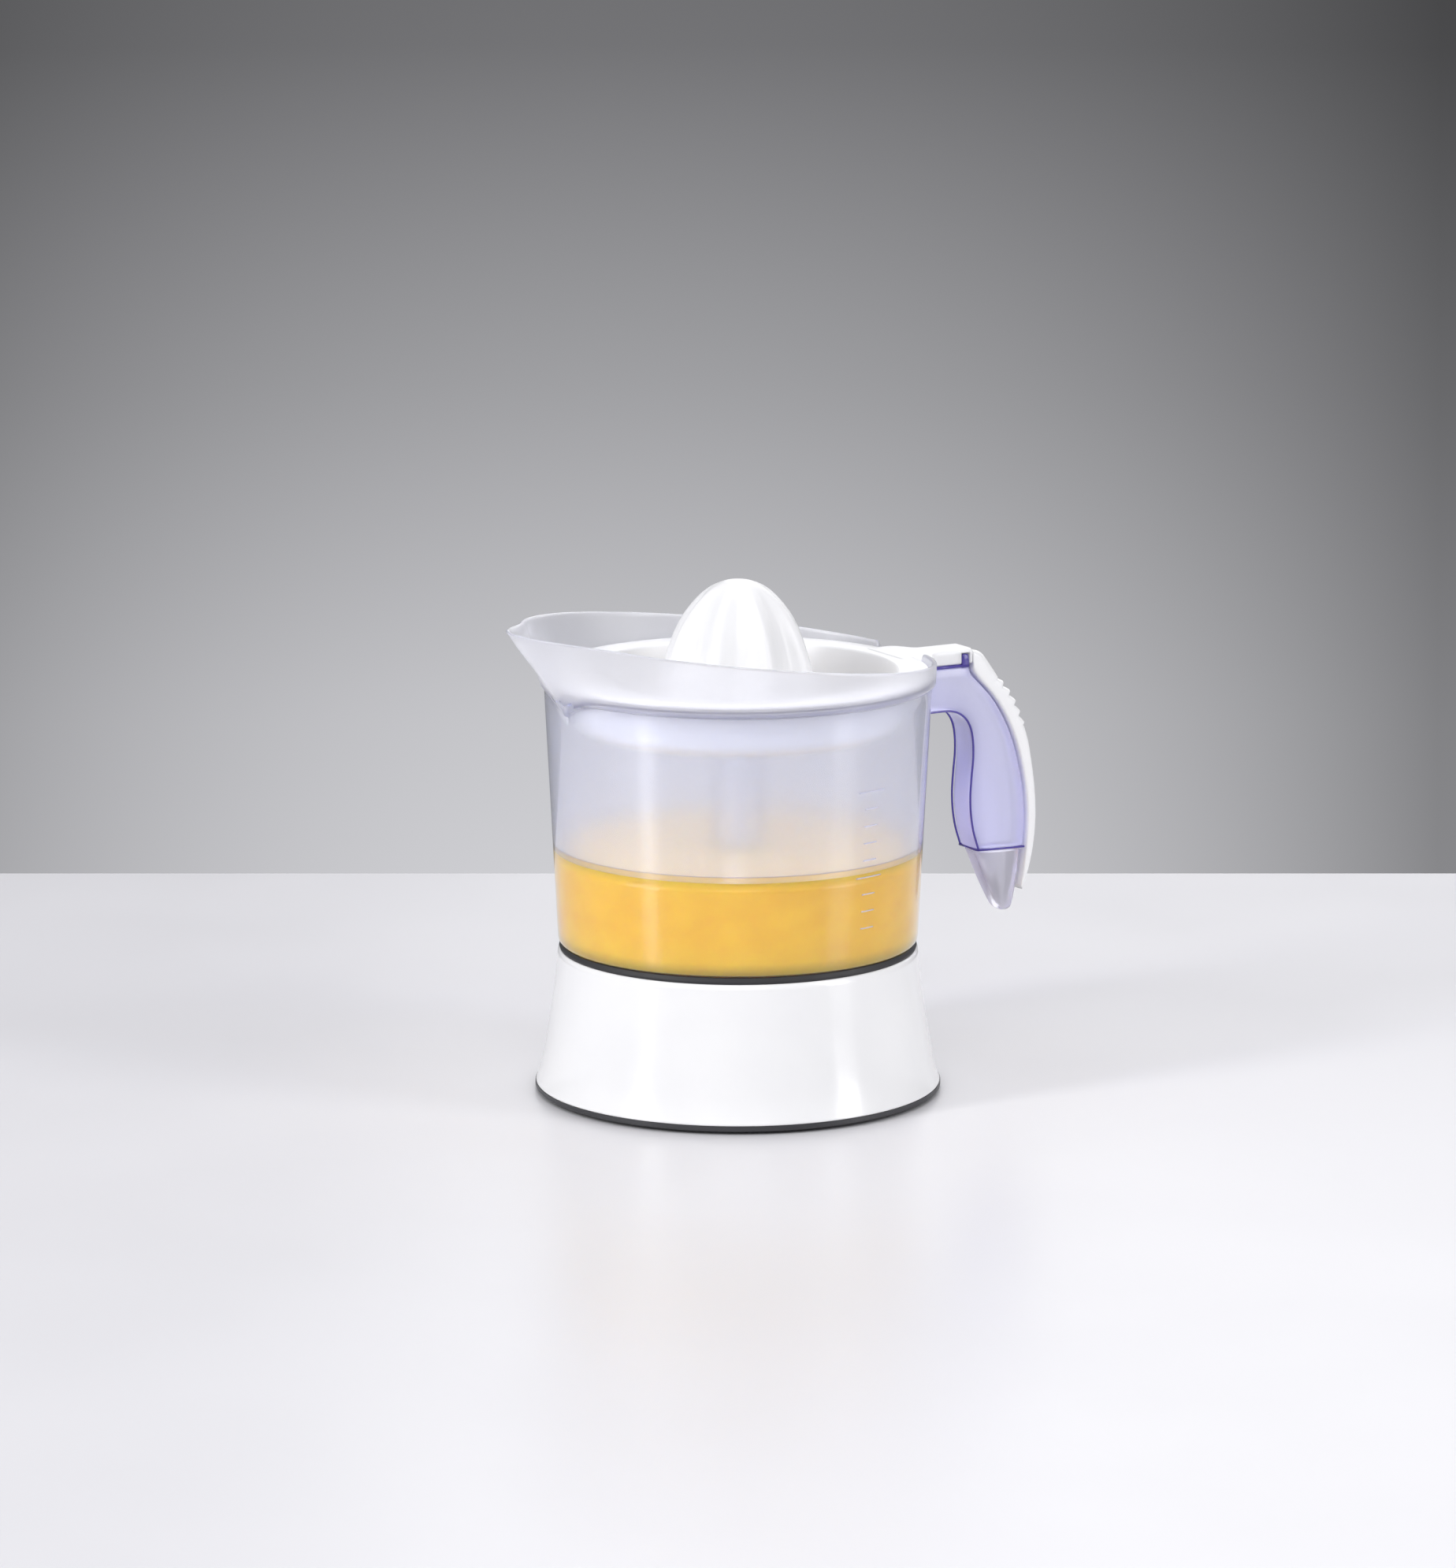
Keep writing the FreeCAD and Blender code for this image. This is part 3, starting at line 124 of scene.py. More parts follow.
def skin(name, rings, loop=False, capped=False):
    """Surface over rings of points; loop joins the last ring to the first."""
    count = len(rings[0])
    verts = [point for ring in rings for point in ring]
    faces = []
    for i in range(len(rings) if loop else len(rings) - 1):
        a = i * count
        b = ((i + 1) % len(rings)) * count
        for k in range(count):
            n = (k + 1) % count
            faces.append((a + k, a + n, b + n, b + k))
    if capped:
        faces.append(tuple(reversed(range(count))))
        faces.append(tuple(range(len(verts) - count, len(verts))))
    return finish_mesh(name, verts, faces)


def lathe(name, outline, segments=160):
    """Solid of revolution of a closed outline of (r, z) points."""
    rings = []
    for r, z in outline:
        ring = []
        for k in range(segments):
            angle = 2 * math.pi * k / segments
            ring.append((r * math.cos(angle), r * math.sin(angle), z))
        rings.append(ring)
    return skin(name, rings, loop=True)


def rounded(points, radii, steps=4):
    """Closed outline with its corners rounded; radii is one value or one per corner."""
    if not isinstance(radii, (list, tuple)):
        radii = [radii] * len(points)
    result = []
    for i, radius in enumerate(radii):
        corner = Vector(points[i])
        before = Vector(points[i - 1]) - corner
        after = Vector(points[(i + 1) % len(points)]) - corner
        if radius <= 0 or before.length < 1e-9 or after.length < 1e-9:
            result.append(tuple(corner))
            continue
        half = before.angle(after) / 2
        reach = min(radius / max(math.tan(half), 0.05), 0.45 * before.length, 0.45 * after.length)
        start = corner + before.normalized() * reach
        end = corner + after.normalized() * reach
        for step in range(steps + 1):
            t = step / steps
            point = start * (1 - t) ** 2 + corner * 2 * t * (1 - t) + end * t ** 2
            result.append(tuple(point))
    return result


def spline(points, per=8):
    """Smooth open curve through points (Catmull-Rom)."""
    vectors = [Vector(p) for p in points]
    ends = [vectors[0] * 2 - vectors[1]] + vectors + [vectors[-1] * 2 - vectors[-2]]
    result = []
    for i in range(1, len(ends) - 2):
        p0, p1, p2, p3 = ends[i - 1:i + 3]
        for step in range(per):
            t = step / per
            point = 0.5 * (2 * p1 + (p2 - p0) * t + (2 * p0 - 5 * p1 + 4 * p2 - p3) * t ** 2
                           + (3 * p1 - p0 - 3 * p2 + p3) * t ** 3)
            result.append(tuple(point))
    result.append(tuple(vectors[-1]))
    return result


def blend_step(low, high, value):
    """Smooth step from 0 at low to 1 at high."""
    t = min(1.0, max(0.0, (value - low) / (high - low)))
    return t * t * (3 - 2 * t)


def mix(a, b, t):
    return a + (b - a) * t


def add_bevel(piece, width, segments=2, angle=35):
    bevel = piece.modifiers.new("bevel", "BEVEL")
    bevel.width = width * MM
    bevel.segments = segments
    bevel.limit_method = "ANGLE"
    bevel.angle_limit = math.radians(angle)
    bevel.harden_normals = False
    return bevel


def tube(name, points, radius, sides=10):
    """Round bar along a polyline, with capped ends."""
    path = [Vector(p) for p in points]
    rings = []
    for i, point in enumerate(path):
        before = path[max(i - 1, 0)]
        after = path[min(i + 1, len(path) - 1)]
        along = (after - before).normalized()
        side = along.cross(Vector((0, 1, 0)))
        if side.length < 0.2:
            side = along.cross(Vector((1, 0, 0)))
        side.normalize()
        up = side.cross(along)
        ring = []
        for k in range(sides):
            angle = 2 * math.pi * k / sides
            offset = (side * math.cos(angle) + up * math.sin(angle)) * radius
            ring.append(tuple(point + offset))
        rings.append(ring)
    return skin(name, rings, capped=True)


def join(name, pieces):
    """One object of several."""
    bpy.ops.object.select_all(action="DESELECT")
    for piece in pieces:
        piece.select_set(True)
    bpy.context.view_layer.objects.active = pieces[0]
    bpy.ops.object.join()
    whole = bpy.context.view_layer.objects.active
    whole.name = name
    whole.data.name = name
    return whole


# --------------------------------------------------------------------------- materials
def new_material(name):
    material = bpy.data.materials.new(name)
    material.use_nodes = True
    tree = material.node_tree
    return material, tree, tree.nodes["Principled BSDF"]


def noise(tree, scale, detail=3.0, stretch=(1, 1, 1)):
    """Noise in object space; scale is in features per metre."""
    coordinates = tree.nodes.new("ShaderNodeTexCoord")
    mapping = tree.nodes.new("ShaderNodeMapping")
    mapping.inputs["Scale"].default_value = stretch
    texture = tree.nodes.new("ShaderNodeTexNoise")
    texture.inputs["Scale"].default_value = scale
    texture.inputs["Detail"].default_value = detail
    tree.links.new(coordinates.outputs["Object"], mapping.inputs["Vector"])
    tree.links.new(mapping.outputs["Vector"], texture.inputs["Vector"])
    return texture.outputs["Fac"]


def spread(tree, value, low, high):
    """Remaps a noise value to the range low to high."""
    remap = tree.nodes.new("ShaderNodeMapRange")
    remap.inputs["From Min"].default_value = 0.3
    remap.inputs["From Max"].default_value = 0.7
    remap.inputs["To Min"].default_value = low
    remap.inputs["To Max"].default_value = high
    tree.links.new(value, remap.inputs["Value"])
    return remap.outputs["Result"]


def two_tones(tree, value, first, second):
    ramp = tree.nodes.new("ShaderNodeValToRGB")
    ramp.color_ramp.elements[0].position = 0.35
    ramp.color_ramp.elements[0].color = (*first, 1)
    ramp.color_ramp.elements[1].position = 0.65
    ramp.color_ramp.elements[1].color = (*second, 1)
    tree.links.new(value, ramp.inputs["Fac"])
    return ramp.outputs["Color"]


def relief(tree, shader, value, strength, distance):
    bump = tree.nodes.new("ShaderNodeBump")
    bump.inputs["Strength"].default_value = strength
    bump.inputs["Distance"].default_value = distance
    tree.links.new(value, bump.inputs["Height"])
    tree.links.new(bump.outputs["Normal"], shader.inputs["Normal"])


def moulded(name, tone, tone_2, rough, bump=0.04, coat=0.0, subsurface=0.0):
    """Injection-moulded plastic: faint flow mottling, fine texture, uneven gloss."""
    material, tree, shader = new_material(name)
    tree.links.new(two_tones(tree, noise(tree, 14.0, 4.0), tone, tone_2), shader.inputs["Base Color"])
    tree.links.new(spread(tree, noise(tree, 60.0, 5.0), *rough), shader.inputs["Roughness"])
    relief(tree, shader, noise(tree, 900.0, 2.0), bump, 0.0004)
    shader.inputs["Coat Weight"].default_value = coat
    shader.inputs["Coat Roughness"].default_value = 0.08
    if subsurface:
        shader.inputs["Subsurface Weight"].default_value = subsurface
        shader.inputs["Subsurface Radius"].default_value = (0.004, 0.004, 0.004)
        shader.inputs["Subsurface Scale"].default_value = 1.0
    return material


def metal(name, tone, tone_2, rough, stretch=(1, 1, 1), scale=300.0):
    """Metal with drawn or ground streaks."""
    material, tree, shader = new_material(name)
    streaks = noise(tree, scale, 4.0, stretch)
    tree.links.new(two_tones(tree, streaks, tone, tone_2), shader.inputs["Base Color"])
    tree.links.new(spread(tree, streaks, *rough), shader.inputs["Roughness"])
    relief(tree, shader, streaks, 0.15, 0.0002)
    shader.inputs["Metallic"].default_value = 1.0
    return material


def clear_plastic(name, tint, rough, transmission, bump=0.05, absorb=None, density=0.0, coat=0.0):
    """See-through plastic with a satin skin; absorb deepens its colour with depth.

    Shadow rays pass it, so light reaches what stands inside.
    """
    material, tree, shader = new_material(name)
    rays = tree.nodes.new("ShaderNodeLightPath")
    pass_through = tree.nodes.new("ShaderNodeBsdfTransparent")
    pass_through.inputs["Color"].default_value = (*[0.4 + 0.6 * v for v in tint], 1)
    either = tree.nodes.new("ShaderNodeMixShader")
    tree.links.new(rays.outputs["Is Shadow Ray"], either.inputs["Fac"])
    tree.links.new(shader.outputs["BSDF"], either.inputs[1])
    tree.links.new(pass_through.outputs["BSDF"], either.inputs[2])
    tree.links.new(either.outputs["Shader"], tree.nodes["Material Output"].inputs["Surface"])
    shader.inputs["Base Color"].default_value = (*tint, 1)
    shader.inputs["Transmission Weight"].default_value = transmission
    shader.inputs["IOR"].default_value = 1.49
    shader.inputs["Coat Weight"].default_value = coat
    shader.inputs["Coat Roughness"].default_value = 0.1
    tree.links.new(spread(tree, noise(tree, 35.0, 4.0), *rough), shader.inputs["Roughness"])
    relief(tree, shader, noise(tree, 420.0, 2.0), bump, 0.0004)
    if absorb:
        volume = tree.nodes.new("ShaderNodeVolumeAbsorption")
        volume.inputs["Color"].default_value = (*absorb, 1)
        volume.inputs["Density"].default_value = density
        output = tree.nodes["Material Output"]
        tree.links.new(volume.outputs["Volume"], output.inputs["Volume"])
    return material


def juice_material():
    """Cloudy orange juice with pulp: mottled, soft, with a wet surface."""
    material, tree, shader = new_material("orange_juice")
    cloud = noise(tree, 70.0, 6.0, (1, 1, 1.6))
    tree.links.new(two_tones(tree, cloud, (0.84, 0.49, 0.004), (0.89, 0.555, 0.01)),
                   shader.inputs["Base Color"])
    relief(tree, shader, noise(tree, 500.0, 3.0), 0.06, 0.0004)
    shader.inputs["Roughness"].default_value = 0.12
    shader.inputs["IOR"].default_value = 1.35
    shader.inputs["Subsurface Weight"].default_value = 0.35
    shader.inputs["Subsurface Radius"].default_value = (0.012, 0.006, 0.001)
    shader.inputs["Subsurface Scale"].default_value = 1.0
    return material


WHITE_GLOSS = moulded("white_gloss", (0.84, 0.84, 0.85), (0.88, 0.88, 0.885), (0.16, 0.24),
                      bump=0.02, coat=0.35)
WHITE_SATIN = moulded("white_satin", (0.78, 0.78, 0.795), (0.82, 0.82, 0.83), (0.29, 0.38),
                      bump=0.03, subsurface=0.15)
# Dark rubber for the feet, grommet and seal; on the seat ring it is also painted gap shadow.
DARK_RUBBER_AND_GAP_SHADE = moulded("dark_rubber", (0.018, 0.018, 0.02), (0.03, 0.03, 0.033), (0.5, 0.68), bump=0.15)
# Dark plastic for the microswitch; on the bottom cover it is also painted gap shadow.
DARK_PLASTIC_AND_GAP_SHADE = moulded("dark_plastic", (0.03, 0.03, 0.034), (0.045, 0.045, 0.05), (0.38, 0.5), bump=0.12)
CHASSIS = moulded("chassis_plastic", (0.06, 0.06, 0.07), (0.09, 0.09, 0.1), (0.4, 0.55), bump=0.15)
BOBBIN = moulded("bobbin_plastic", (0.7, 0.66, 0.55), (0.78, 0.74, 0.62), (0.4, 0.5))
ACETAL = moulded("gear_plastic", (0.78, 0.76, 0.68), (0.84, 0.82, 0.75), (0.3, 0.42), subsurface=0.1)
SWITCH_RED = moulded("switch_red", (0.42, 0.02, 0.015), (0.5, 0.03, 0.02), (0.3, 0.4))
ZINC = metal("zinc_steel", (0.5, 0.5, 0.52), (0.66, 0.66, 0.68), (0.3, 0.45), scale=160.0)
GROUND = metal("ground_steel", (0.55, 0.55, 0.57), (0.68, 0.68, 0.7), (0.16, 0.26), (1, 1, 24), 120.0)
WIRE = metal("spring_steel", (0.33, 0.33, 0.36), (0.46, 0.46, 0.5), (0.3, 0.42))
LAMINATED = metal("lamination_steel", (0.14, 0.14, 0.16), (0.3, 0.3, 0.32), (0.35, 0.55),
                  (0.2, 0.2, 12), 500.0)
FERRITE = moulded("ferrite", (0.03, 0.03, 0.032), (0.05, 0.05, 0.052), (0.45, 0.6), bump=0.25)
BRONZE = metal("bronze", (0.5, 0.3, 0.13), (0.62, 0.4, 0.2), (0.3, 0.5), scale=900.0)
COPPER = metal("copper_wire", (0.5, 0.18, 0.07), (0.68, 0.29, 0.12), (0.3, 0.4), (1, 30, 1), 100.0)
JUG_CLEAR = clear_plastic("jug_clear", (0.99, 0.992, 1.0), (0.18, 0.24), 0.97,
                          absorb=(0.25, 0.33, 0.98), density=30.0, coat=0.8)
JUG_MIST = clear_plastic("jug_mist", (0.965, 0.975, 1.0), (0.21, 0.26), 0.79,
                         absorb=(0.2, 0.31, 0.98), density=40.0, coat=0.9)
JUG_FROST = clear_plastic("jug_frost", (0.91, 0.91, 0.93), (0.285, 0.34), 0.8,
                          absorb=(0.35, 0.4, 0.95), density=10.0)
VIOLET = clear_plastic("handle_violet", (0.82, 0.82, 0.99), (0.2, 0.26), 0.55, bump=0.08,
                       absorb=(0.36, 0.33, 0.9), density=14.0)
# Deep violet: the lugs' own colour, and painted shade for the lines along the handle's edges.
DEEP_VIOLET_AND_EDGE_SHADE = clear_plastic("handle_deep_violet_and_edge_shade", (0.10, 0.075, 0.38), (0.12, 0.2), 0.3)
TIP_CLEAR = clear_plastic("tip_clear", (0.92, 0.91, 0.98), (0.1, 0.18), 0.72,
                          absorb=(0.45, 0.42, 0.66), density=14.0)
JUICE = juice_material()
MARKING = clear_plastic("scale_relief", (0.74, 0.74, 0.82), (0.12, 0.2), 0.6)


def dress(piece, material, body, slot, *nodes):
    """Gives a new piece its material and its body, and hides the nodes it stands for; the slot is not used.
    """
    piece.data.materials.clear()
    piece.data.materials.append(material)
    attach(piece, body)
    if nodes:
        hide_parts(*nodes)
    return piece


# -------------------------------------------------------------------------------- base
def flare(inset):
    """Concave side of the housing from its foot to its top."""
    foot_r = (HOUSING_HIGH[0] - HOUSING_LOW[0]) / 2 + 0.1
    points = [(foot_r, HOUSING_LOW[2]), (77.0, 12.5), (74.3, 28.0), (72.1, 43.0), (70.8, DECK_Z - 0.8)]
    return spline([(r - inset, z) for r, z in points], 8)


def base_housing():
    """White shell with a fine lip at its foot, the jug's seat and the spindle collar."""
    side = flare(0)
    side[-1] = (side[-1][0] - 0.15, DECK_Z - 0.25)
    tower_top = HOUSING_HIGH[2]
    top = rounded([
        side[-1], (70.0, DECK_Z), (PLATEAU_R, DECK_Z), (PLATEAU_R - 0.3, PLATEAU_Z),
        (TOWER_R[1] + 1.2, PLATEAU_Z), (TOWER_R[1], PLATEAU_Z + 1.4), (TOWER_R[1], tower_top),
        (TOWER_R[0], tower_top), (TOWER_R[0], PLATEAU_Z - HOUSING_WALL),
        (PLATEAU_R - HOUSING_WALL, PLATEAU_Z - HOUSING_WALL),
        (PLATEAU_R - HOUSING_WALL, DECK_Z - HOUSING_WALL), (67.0, DECK_Z - HOUSING_WALL),
    ], [0, 0.3, 0.4, 0.6, 0.5, 0.8, 0.4, 0.4, 0.3, 0.3, 0.3, 0], 3)
    inner = list(reversed(flare(HOUSING_WALL)))
    foot = side[0]
    edge = [(foot[0] - 0.5, foot[1]), (foot[0] - 0.1, foot[1] + 0.1), (foot[0], foot[1] + 0.45)]
    outline = edge + side[1:] + top[1:] + inner[1:]
    return lathe("base_housing_shell", outline, 200)


# Dark ring at the joint of jug and base: partly a rubber seat, partly painted shade for the shadow in the gap
# under the jug.
def seat_ring():
    inner = PLATEAU_R + 0.3
    outer = (SEAT_HIGH[0] - SEAT_LOW[0]) / 2
    outline = rounded([
        (inner, SEAT_LOW[2]), (outer - 0.3, SEAT_LOW[2]), (outer, SEAT_LOW[2] + 1.0),
        (outer - 0.5, SEAT_HIGH[2]), (inner, SEAT_HIGH[2]),
    ], 0.35, 4)
    return lathe("seat_ring_soft", outline, 200)


dress(base_housing(), WHITE_GLOSS, "base", "white_gloss", "base_housing")
dress(seat_ring(), DARK_RUBBER_AND_GAP_SHADE, "base", "dark_rubber", "seat_ring")


# --------------------------------------------------------------------------------- jug
def wall_r(z):
    share = (z - JUG_LOW[2]) / (LEDGE_Z - JUG_LOW[2])
    return mix(JUG_BOTTOM_R, JUG_TOP_R, share)


def ledge_z(angle):
    """Height of the outer ledge; it dips to a point under the spout."""
    if angle >= SPOUT_DIP_DEG:
        return LEDGE_Z
    return LEDGE_Z - SPOUT_DIP * (1 - angle / SPOUT_DIP_DEG) ** 2


def collar_r(angle, z):
    """Outer radius of the collar; angle is measured from the spout, in degrees."""
    height = z - LEDGE_Z
    radius = LEDGE_R + 0.05 * height
    broad = SPOUT_BROAD * min(1.0, max(0.0, height / 26.0))
    keel = JUG_TOP_R + SPOUT_SLOPE * (height + SPOUT_DIP)
    narrow = max(0.0, keel - radius - broad)
    if angle < SPOUT_BROAD_DEG:
        radius += broad * math.cos(math.radians(90 * angle / SPOUT_BROAD_DEG))
    if angle < SPOUT_NARROW_DEG:
        sharp = (1 - (math.hypot(angle, 0.6) - 0.6) / SPOUT_NARROW_DEG) ** 2.4
        round_tip = math.cos(math.pi / 2 * angle / SPOUT_NARROW_DEG) ** 2
        radius += narrow * mix(max(sharp, 0.0), round_tip, blend_step(1.0, 22.0, height))
    return radius


def rim_z(angle):
    """Height of the rim: a tilted plane, cut down for the strainer's arm."""
    z = RIM_Z
    for _ in range(6):
        x = -collar_r(angle, z) * math.cos(math.radians(angle))
        z = RIM_Z - RIM_TILT * x
    notch_z = LEDGE_Z + SHELF_LIFT + 0.3
    return mix(z, notch_z, blend_step(180 - NOTCH_DEG - 1.0, 180 - NOTCH_DEG + 0.8, angle))


def wall_rows(low, high):
    """Heights of the wall's rows of points, with one at the juice's surface."""
    wet = [mix(low, JUICE_Z, i / 10) for i in range(10)]
    return wet + [JUICE_Z] + [mix(JUICE_Z + WET_EDGE, high, i / 13) for i in range(14)]


def jug_profile(angle):
    """Closed (r, z) outline of the jug's wall at an angle from the spout."""
    ledge = ledge_z(angle)
    rim = rim_z(angle)
    bottom = JUG_LOW[2]
    under = FLOOR_Z - FLOOR_T
    path = [(COLUMN_BORE[0], under), (PLATEAU_R, under), (PLATEAU_R + 0.2, under - 0.2),
            (PLATEAU_R + 0.25, bottom + 0.4), (PLATEAU_R + 0.6, bottom)]
    path += [(JUG_BOTTOM_R - 1.7, bottom), (JUG_BOTTOM_R - 0.8, bottom + 0.3),
             (JUG_BOTTOM_R - 0.2, bottom + 1.0), (JUG_BOTTOM_R + 0.05, bottom + 2.0)]
    for z in wall_rows(bottom + 2.0, ledge - 1.3)[1:]:
        path.append((wall_r(z), z))
    step = 0.9 + 1.1 * (1 - blend_step(3.0, SPOUT_DIP_DEG, angle))
    collar_foot = max(collar_r(angle, ledge), wall_r(ledge) + step)
    path += [(mix(wall_r(ledge), collar_foot, 0.12), ledge - 0.75),
             (mix(wall_r(ledge), collar_foot, 0.55), ledge - 0.35),
             (mix(wall_r(ledge), collar_foot, 0.9), ledge - 0.05),
             (collar_foot, ledge + 0.45)]
    rows = 12
    for i in range(1, rows + 1):
        z = mix(ledge + 0.45, rim - 0.9, i / rows)
        path.append((max(collar_r(angle, z), collar_foot), z))
    outer = max(collar_r(angle, rim), collar_foot)
    path += [(outer - 0.1, rim - 0.45), (outer - 0.4, rim - 0.12), (outer - 1.0, rim),
             (outer - 1.6, rim - 0.12), (outer - 1.9, rim - 0.45)]
    shelf = ledge + SHELF_LIFT - 0.1
    for i in range(rows + 1):
        z = mix(rim - 0.9, shelf + 0.4, i / rows)
        path.append((max(collar_r(angle, z), collar_foot) - JUG_WALL, z))
    inner_top = wall_r(ledge) - JUG_WALL
    path += [(mix(inner_top, collar_foot - JUG_WALL, 0.6), shelf), (inner_top + 0.15, shelf - 0.2)]
    for z in reversed(wall_rows(MOAT_Z + 0.3, shelf - 0.8)):
        path.append((wall_r(min(z, ledge)) - JUG_WALL, z))
    foot = path[-1][0]
    path += [(foot - 0.15, MOAT_Z), (foot - MOAT_W + 0.15, MOAT_Z), (foot - MOAT_W, MOAT_Z + 0.3),
             (foot - MOAT_W, FLOOR_Z - 0.3), (foot - MOAT_W - 0.3, FLOOR_Z), (50.0, FLOOR_Z),
             (30.0, FLOOR_Z), (COLUMN_R[0] + 2.4, FLOOR_Z),
             (COLUMN_R[0] + 0.9, FLOOR_Z + 0.5), (COLUMN_R[0], FLOOR_Z + 2.2)]
    rows = 8
    for i in range(1, rows + 1):
        share = i / rows
        path.append((mix(*COLUMN_R, share), mix(FLOOR_Z + 2.2, COLUMN_TOP_Z - 0.6, share)))
    path += [(COLUMN_R[1] - 0.4, COLUMN_TOP_Z), (COLUMN_BORE[1] + 0.3, COLUMN_TOP_Z),
             (COLUMN_BORE[1], COLUMN_TOP_Z - 0.5)]
    for i in range(1, rows + 1):
        share = i / rows
        path.append((mix(COLUMN_BORE[1], COLUMN_BORE[0], share), mix(COLUMN_TOP_Z - 0.5, under + 0.3, share)))
    return path


def jug_angles():
    """Angles from the spout, finer at the spout and at the notch."""
    half = []
    angle = 0.0
    while angle < 180:
        half.append(angle)
        if angle < 3:
            angle += 0.5
        elif angle < 26:
            angle += 1.0
        elif 180 - NOTCH_DEG - 3 < angle < 180 - NOTCH_DEG + 3:
            angle += 0.3
        else:
            angle += 2.0
    return half + [180.0] + [360.0 - a for a in reversed(half[1:])]


def jug():
    """The clear jug: columns of the profile, all the way round."""
    rings = []
    for angle in jug_angles():
        folded = min(angle, 360 - angle)
        turn = math.radians(180 + angle)
        rings.append([(r * math.cos(turn), r * math.sin(turn), z) for r, z in jug_profile(folded)])
    return skin("jug_body", rings, loop=True)


def juice():
    """Orange juice that wets the wall, with a slight meniscus there and at the column."""
    sunk = 0.12
    side = []
    rows = 8
    for i in range(rows + 1):
        z = mix(MOAT_Z, JUICE_Z, i / rows)
        side.append((wall_r(z) - JUG_WALL + sunk, z))
    edge_r = side[-1][0]
    column_r = mix(*COLUMN_R, (JUICE_Z - FLOOR_Z) / (COLUMN_TOP_Z - FLOOR_Z)) - sunk
    surface = [(edge_r - 0.5, JUICE_Z - 0.25), (edge_r - 1.6, JUICE_Z - 0.7), (edge_r - 4.0, JUICE_Z - 0.9)]
    surface += [(r, JUICE_Z - 0.95) for r in (55, 42, 30, 20)]
    surface += [(column_r + 2.5, JUICE_Z - 0.9), (column_r + 1.0, JUICE_Z - 0.6), (column_r, JUICE_Z - 0.1)]
    base_z = FLOOR_Z - sunk
    foot = side[0][0] - MOAT_W - 2 * sunk
    floor = [(COLUMN_R[0] - sunk, FLOOR_Z + 2.4), (COLUMN_R[0] + 1.2, FLOOR_Z + 0.5),
             (COLUMN_R[0] + 2.6, base_z), (40, base_z), (foot, base_z), (foot, MOAT_Z)]
    return lathe("orange_juice", side + surface + floor, 200)


clear_jug = dress(jug(), JUG_CLEAR, "jug", "jug_clear", "jug")
clear_jug.data.materials.append(JUG_MIST)
clear_jug.data.materials.append(JUG_FROST)
for face in clear_jug.data.polygons:
    if face.center.xy.length < 60 * MM or face.center.z < (JUICE_Z + WET_EDGE) * MM:
        continue
    face.material_index = 2 if face.center.z > (LEDGE_Z - 1.0) * MM else 1
dress(juice(), JUICE, "jug", "jug_clear")


def on_wall(degrees, z, out=0.0):
    radius = wall_r(z) + out
    angle = math.radians(degrees)
    return (radius * math.cos(angle), radius * math.sin(angle), z)


SCALE_DEG = -76.0         # the graduations stand to the right of the front
ML_PER_MM = 14.8          # inside of the jug


def graduations():
    """Raised strokes every 100 ml on the outside of the wall."""
    strokes = []
    for step in range(2, 11):
        z = FLOOR_Z + step * 100 / ML_PER_MM
        half = 5.2 if step % 5 == 0 else 2.6
        points = [on_wall(SCALE_DEG - half + i * half / 4, z, 0.02) for i in range(9)]
        strokes.append(tube(f"stroke_{step}", points, 0.28, 8))
    return join("jug_graduations", strokes)


dress(graduations(), MARKING, "jug", "jug_clear")


# ------------------------------------------------------------------------------ handle
SECTION_POINTS = 44
# Pairs of inner and back points of the handle in the plane of the spout, x outwards.
GRIP = [((84.0, 142.8), (87.0, 160.8)), ((90.5, 142.8), (97.0, 160.8)),
        ((94.5, 142.3), (101.8, 160.6)), ((97.6, 141.0), (103.6, 157.0)),
        ((100.6, 138.4), (108.2, 152.3)), ((102.7, 134.4), (113.0, 147.2)),
        ((103.7, 129.0), (117.8, 140.3)), ((103.8, 122.5), (122.2, 131.8)),
        ((103.1, 115.0), (125.8, 121.5)), ((102.6, 107.5), (128.3, 110.5)),
        ((102.9, 100.0), (129.5, 100.0)), ((104.2, 92.5), (129.5, 91.0)),
        ((106.6, 85.0), (128.8, 84.4))]


def section(inside, back, half_w, power, bulge=0.0):
    """Ring of a rounded rectangle between two (x, z) points, spread along Y."""
    centre = ((inside[0] + back[0]) / 2, (inside[1] + back[1]) / 2)
    reach = ((back[0] - inside[0]) / 2, (back[1] - inside[1]) / 2)
    ring = []
    for k in range(SECTION_POINTS):
        angle = 2 * math.pi * (k + 0.5) / SECTION_POINTS
        c, s = math.cos(angle), math.sin(angle)
        across = math.copysign(abs(c) ** (2 / power), c)
        wide = math.copysign(abs(s) ** (2 / power), s)
        wide *= half_w + bulge * (1 - across ** 2)
        ring.append((centre[0] + reach[0] * across, wide, centre[1] + reach[1] * across))
    return ring


def handle():
    """Violet grip and arm, one lofted form that meets the jug's wall."""
    pairs = [tuple(a + b) for a, b in GRIP]
    rings = []
    start = section((80.0, ARM_BOTTOM_Z), (80.0, ARM_TOP_Z), HALF_W - 0.6, 7.0)
    for offset in (0.06, 1.2, 3.0):
        ring = []
        for x, y, z in start:
            wall = math.sqrt(wall_r(min(z, LEDGE_Z - 1.5)) ** 2 - y ** 2) + offset
            ring.append((wall, y, z))
        rings.append(ring)
    for x0, z0, x1, z1 in spline(pairs, 6):
        rings.append(section((x0, z0), (x1, z1), HALF_W - 0.6, 7.0, bulge=0.5))
    return skin("handle_grip", rings, capped=True)


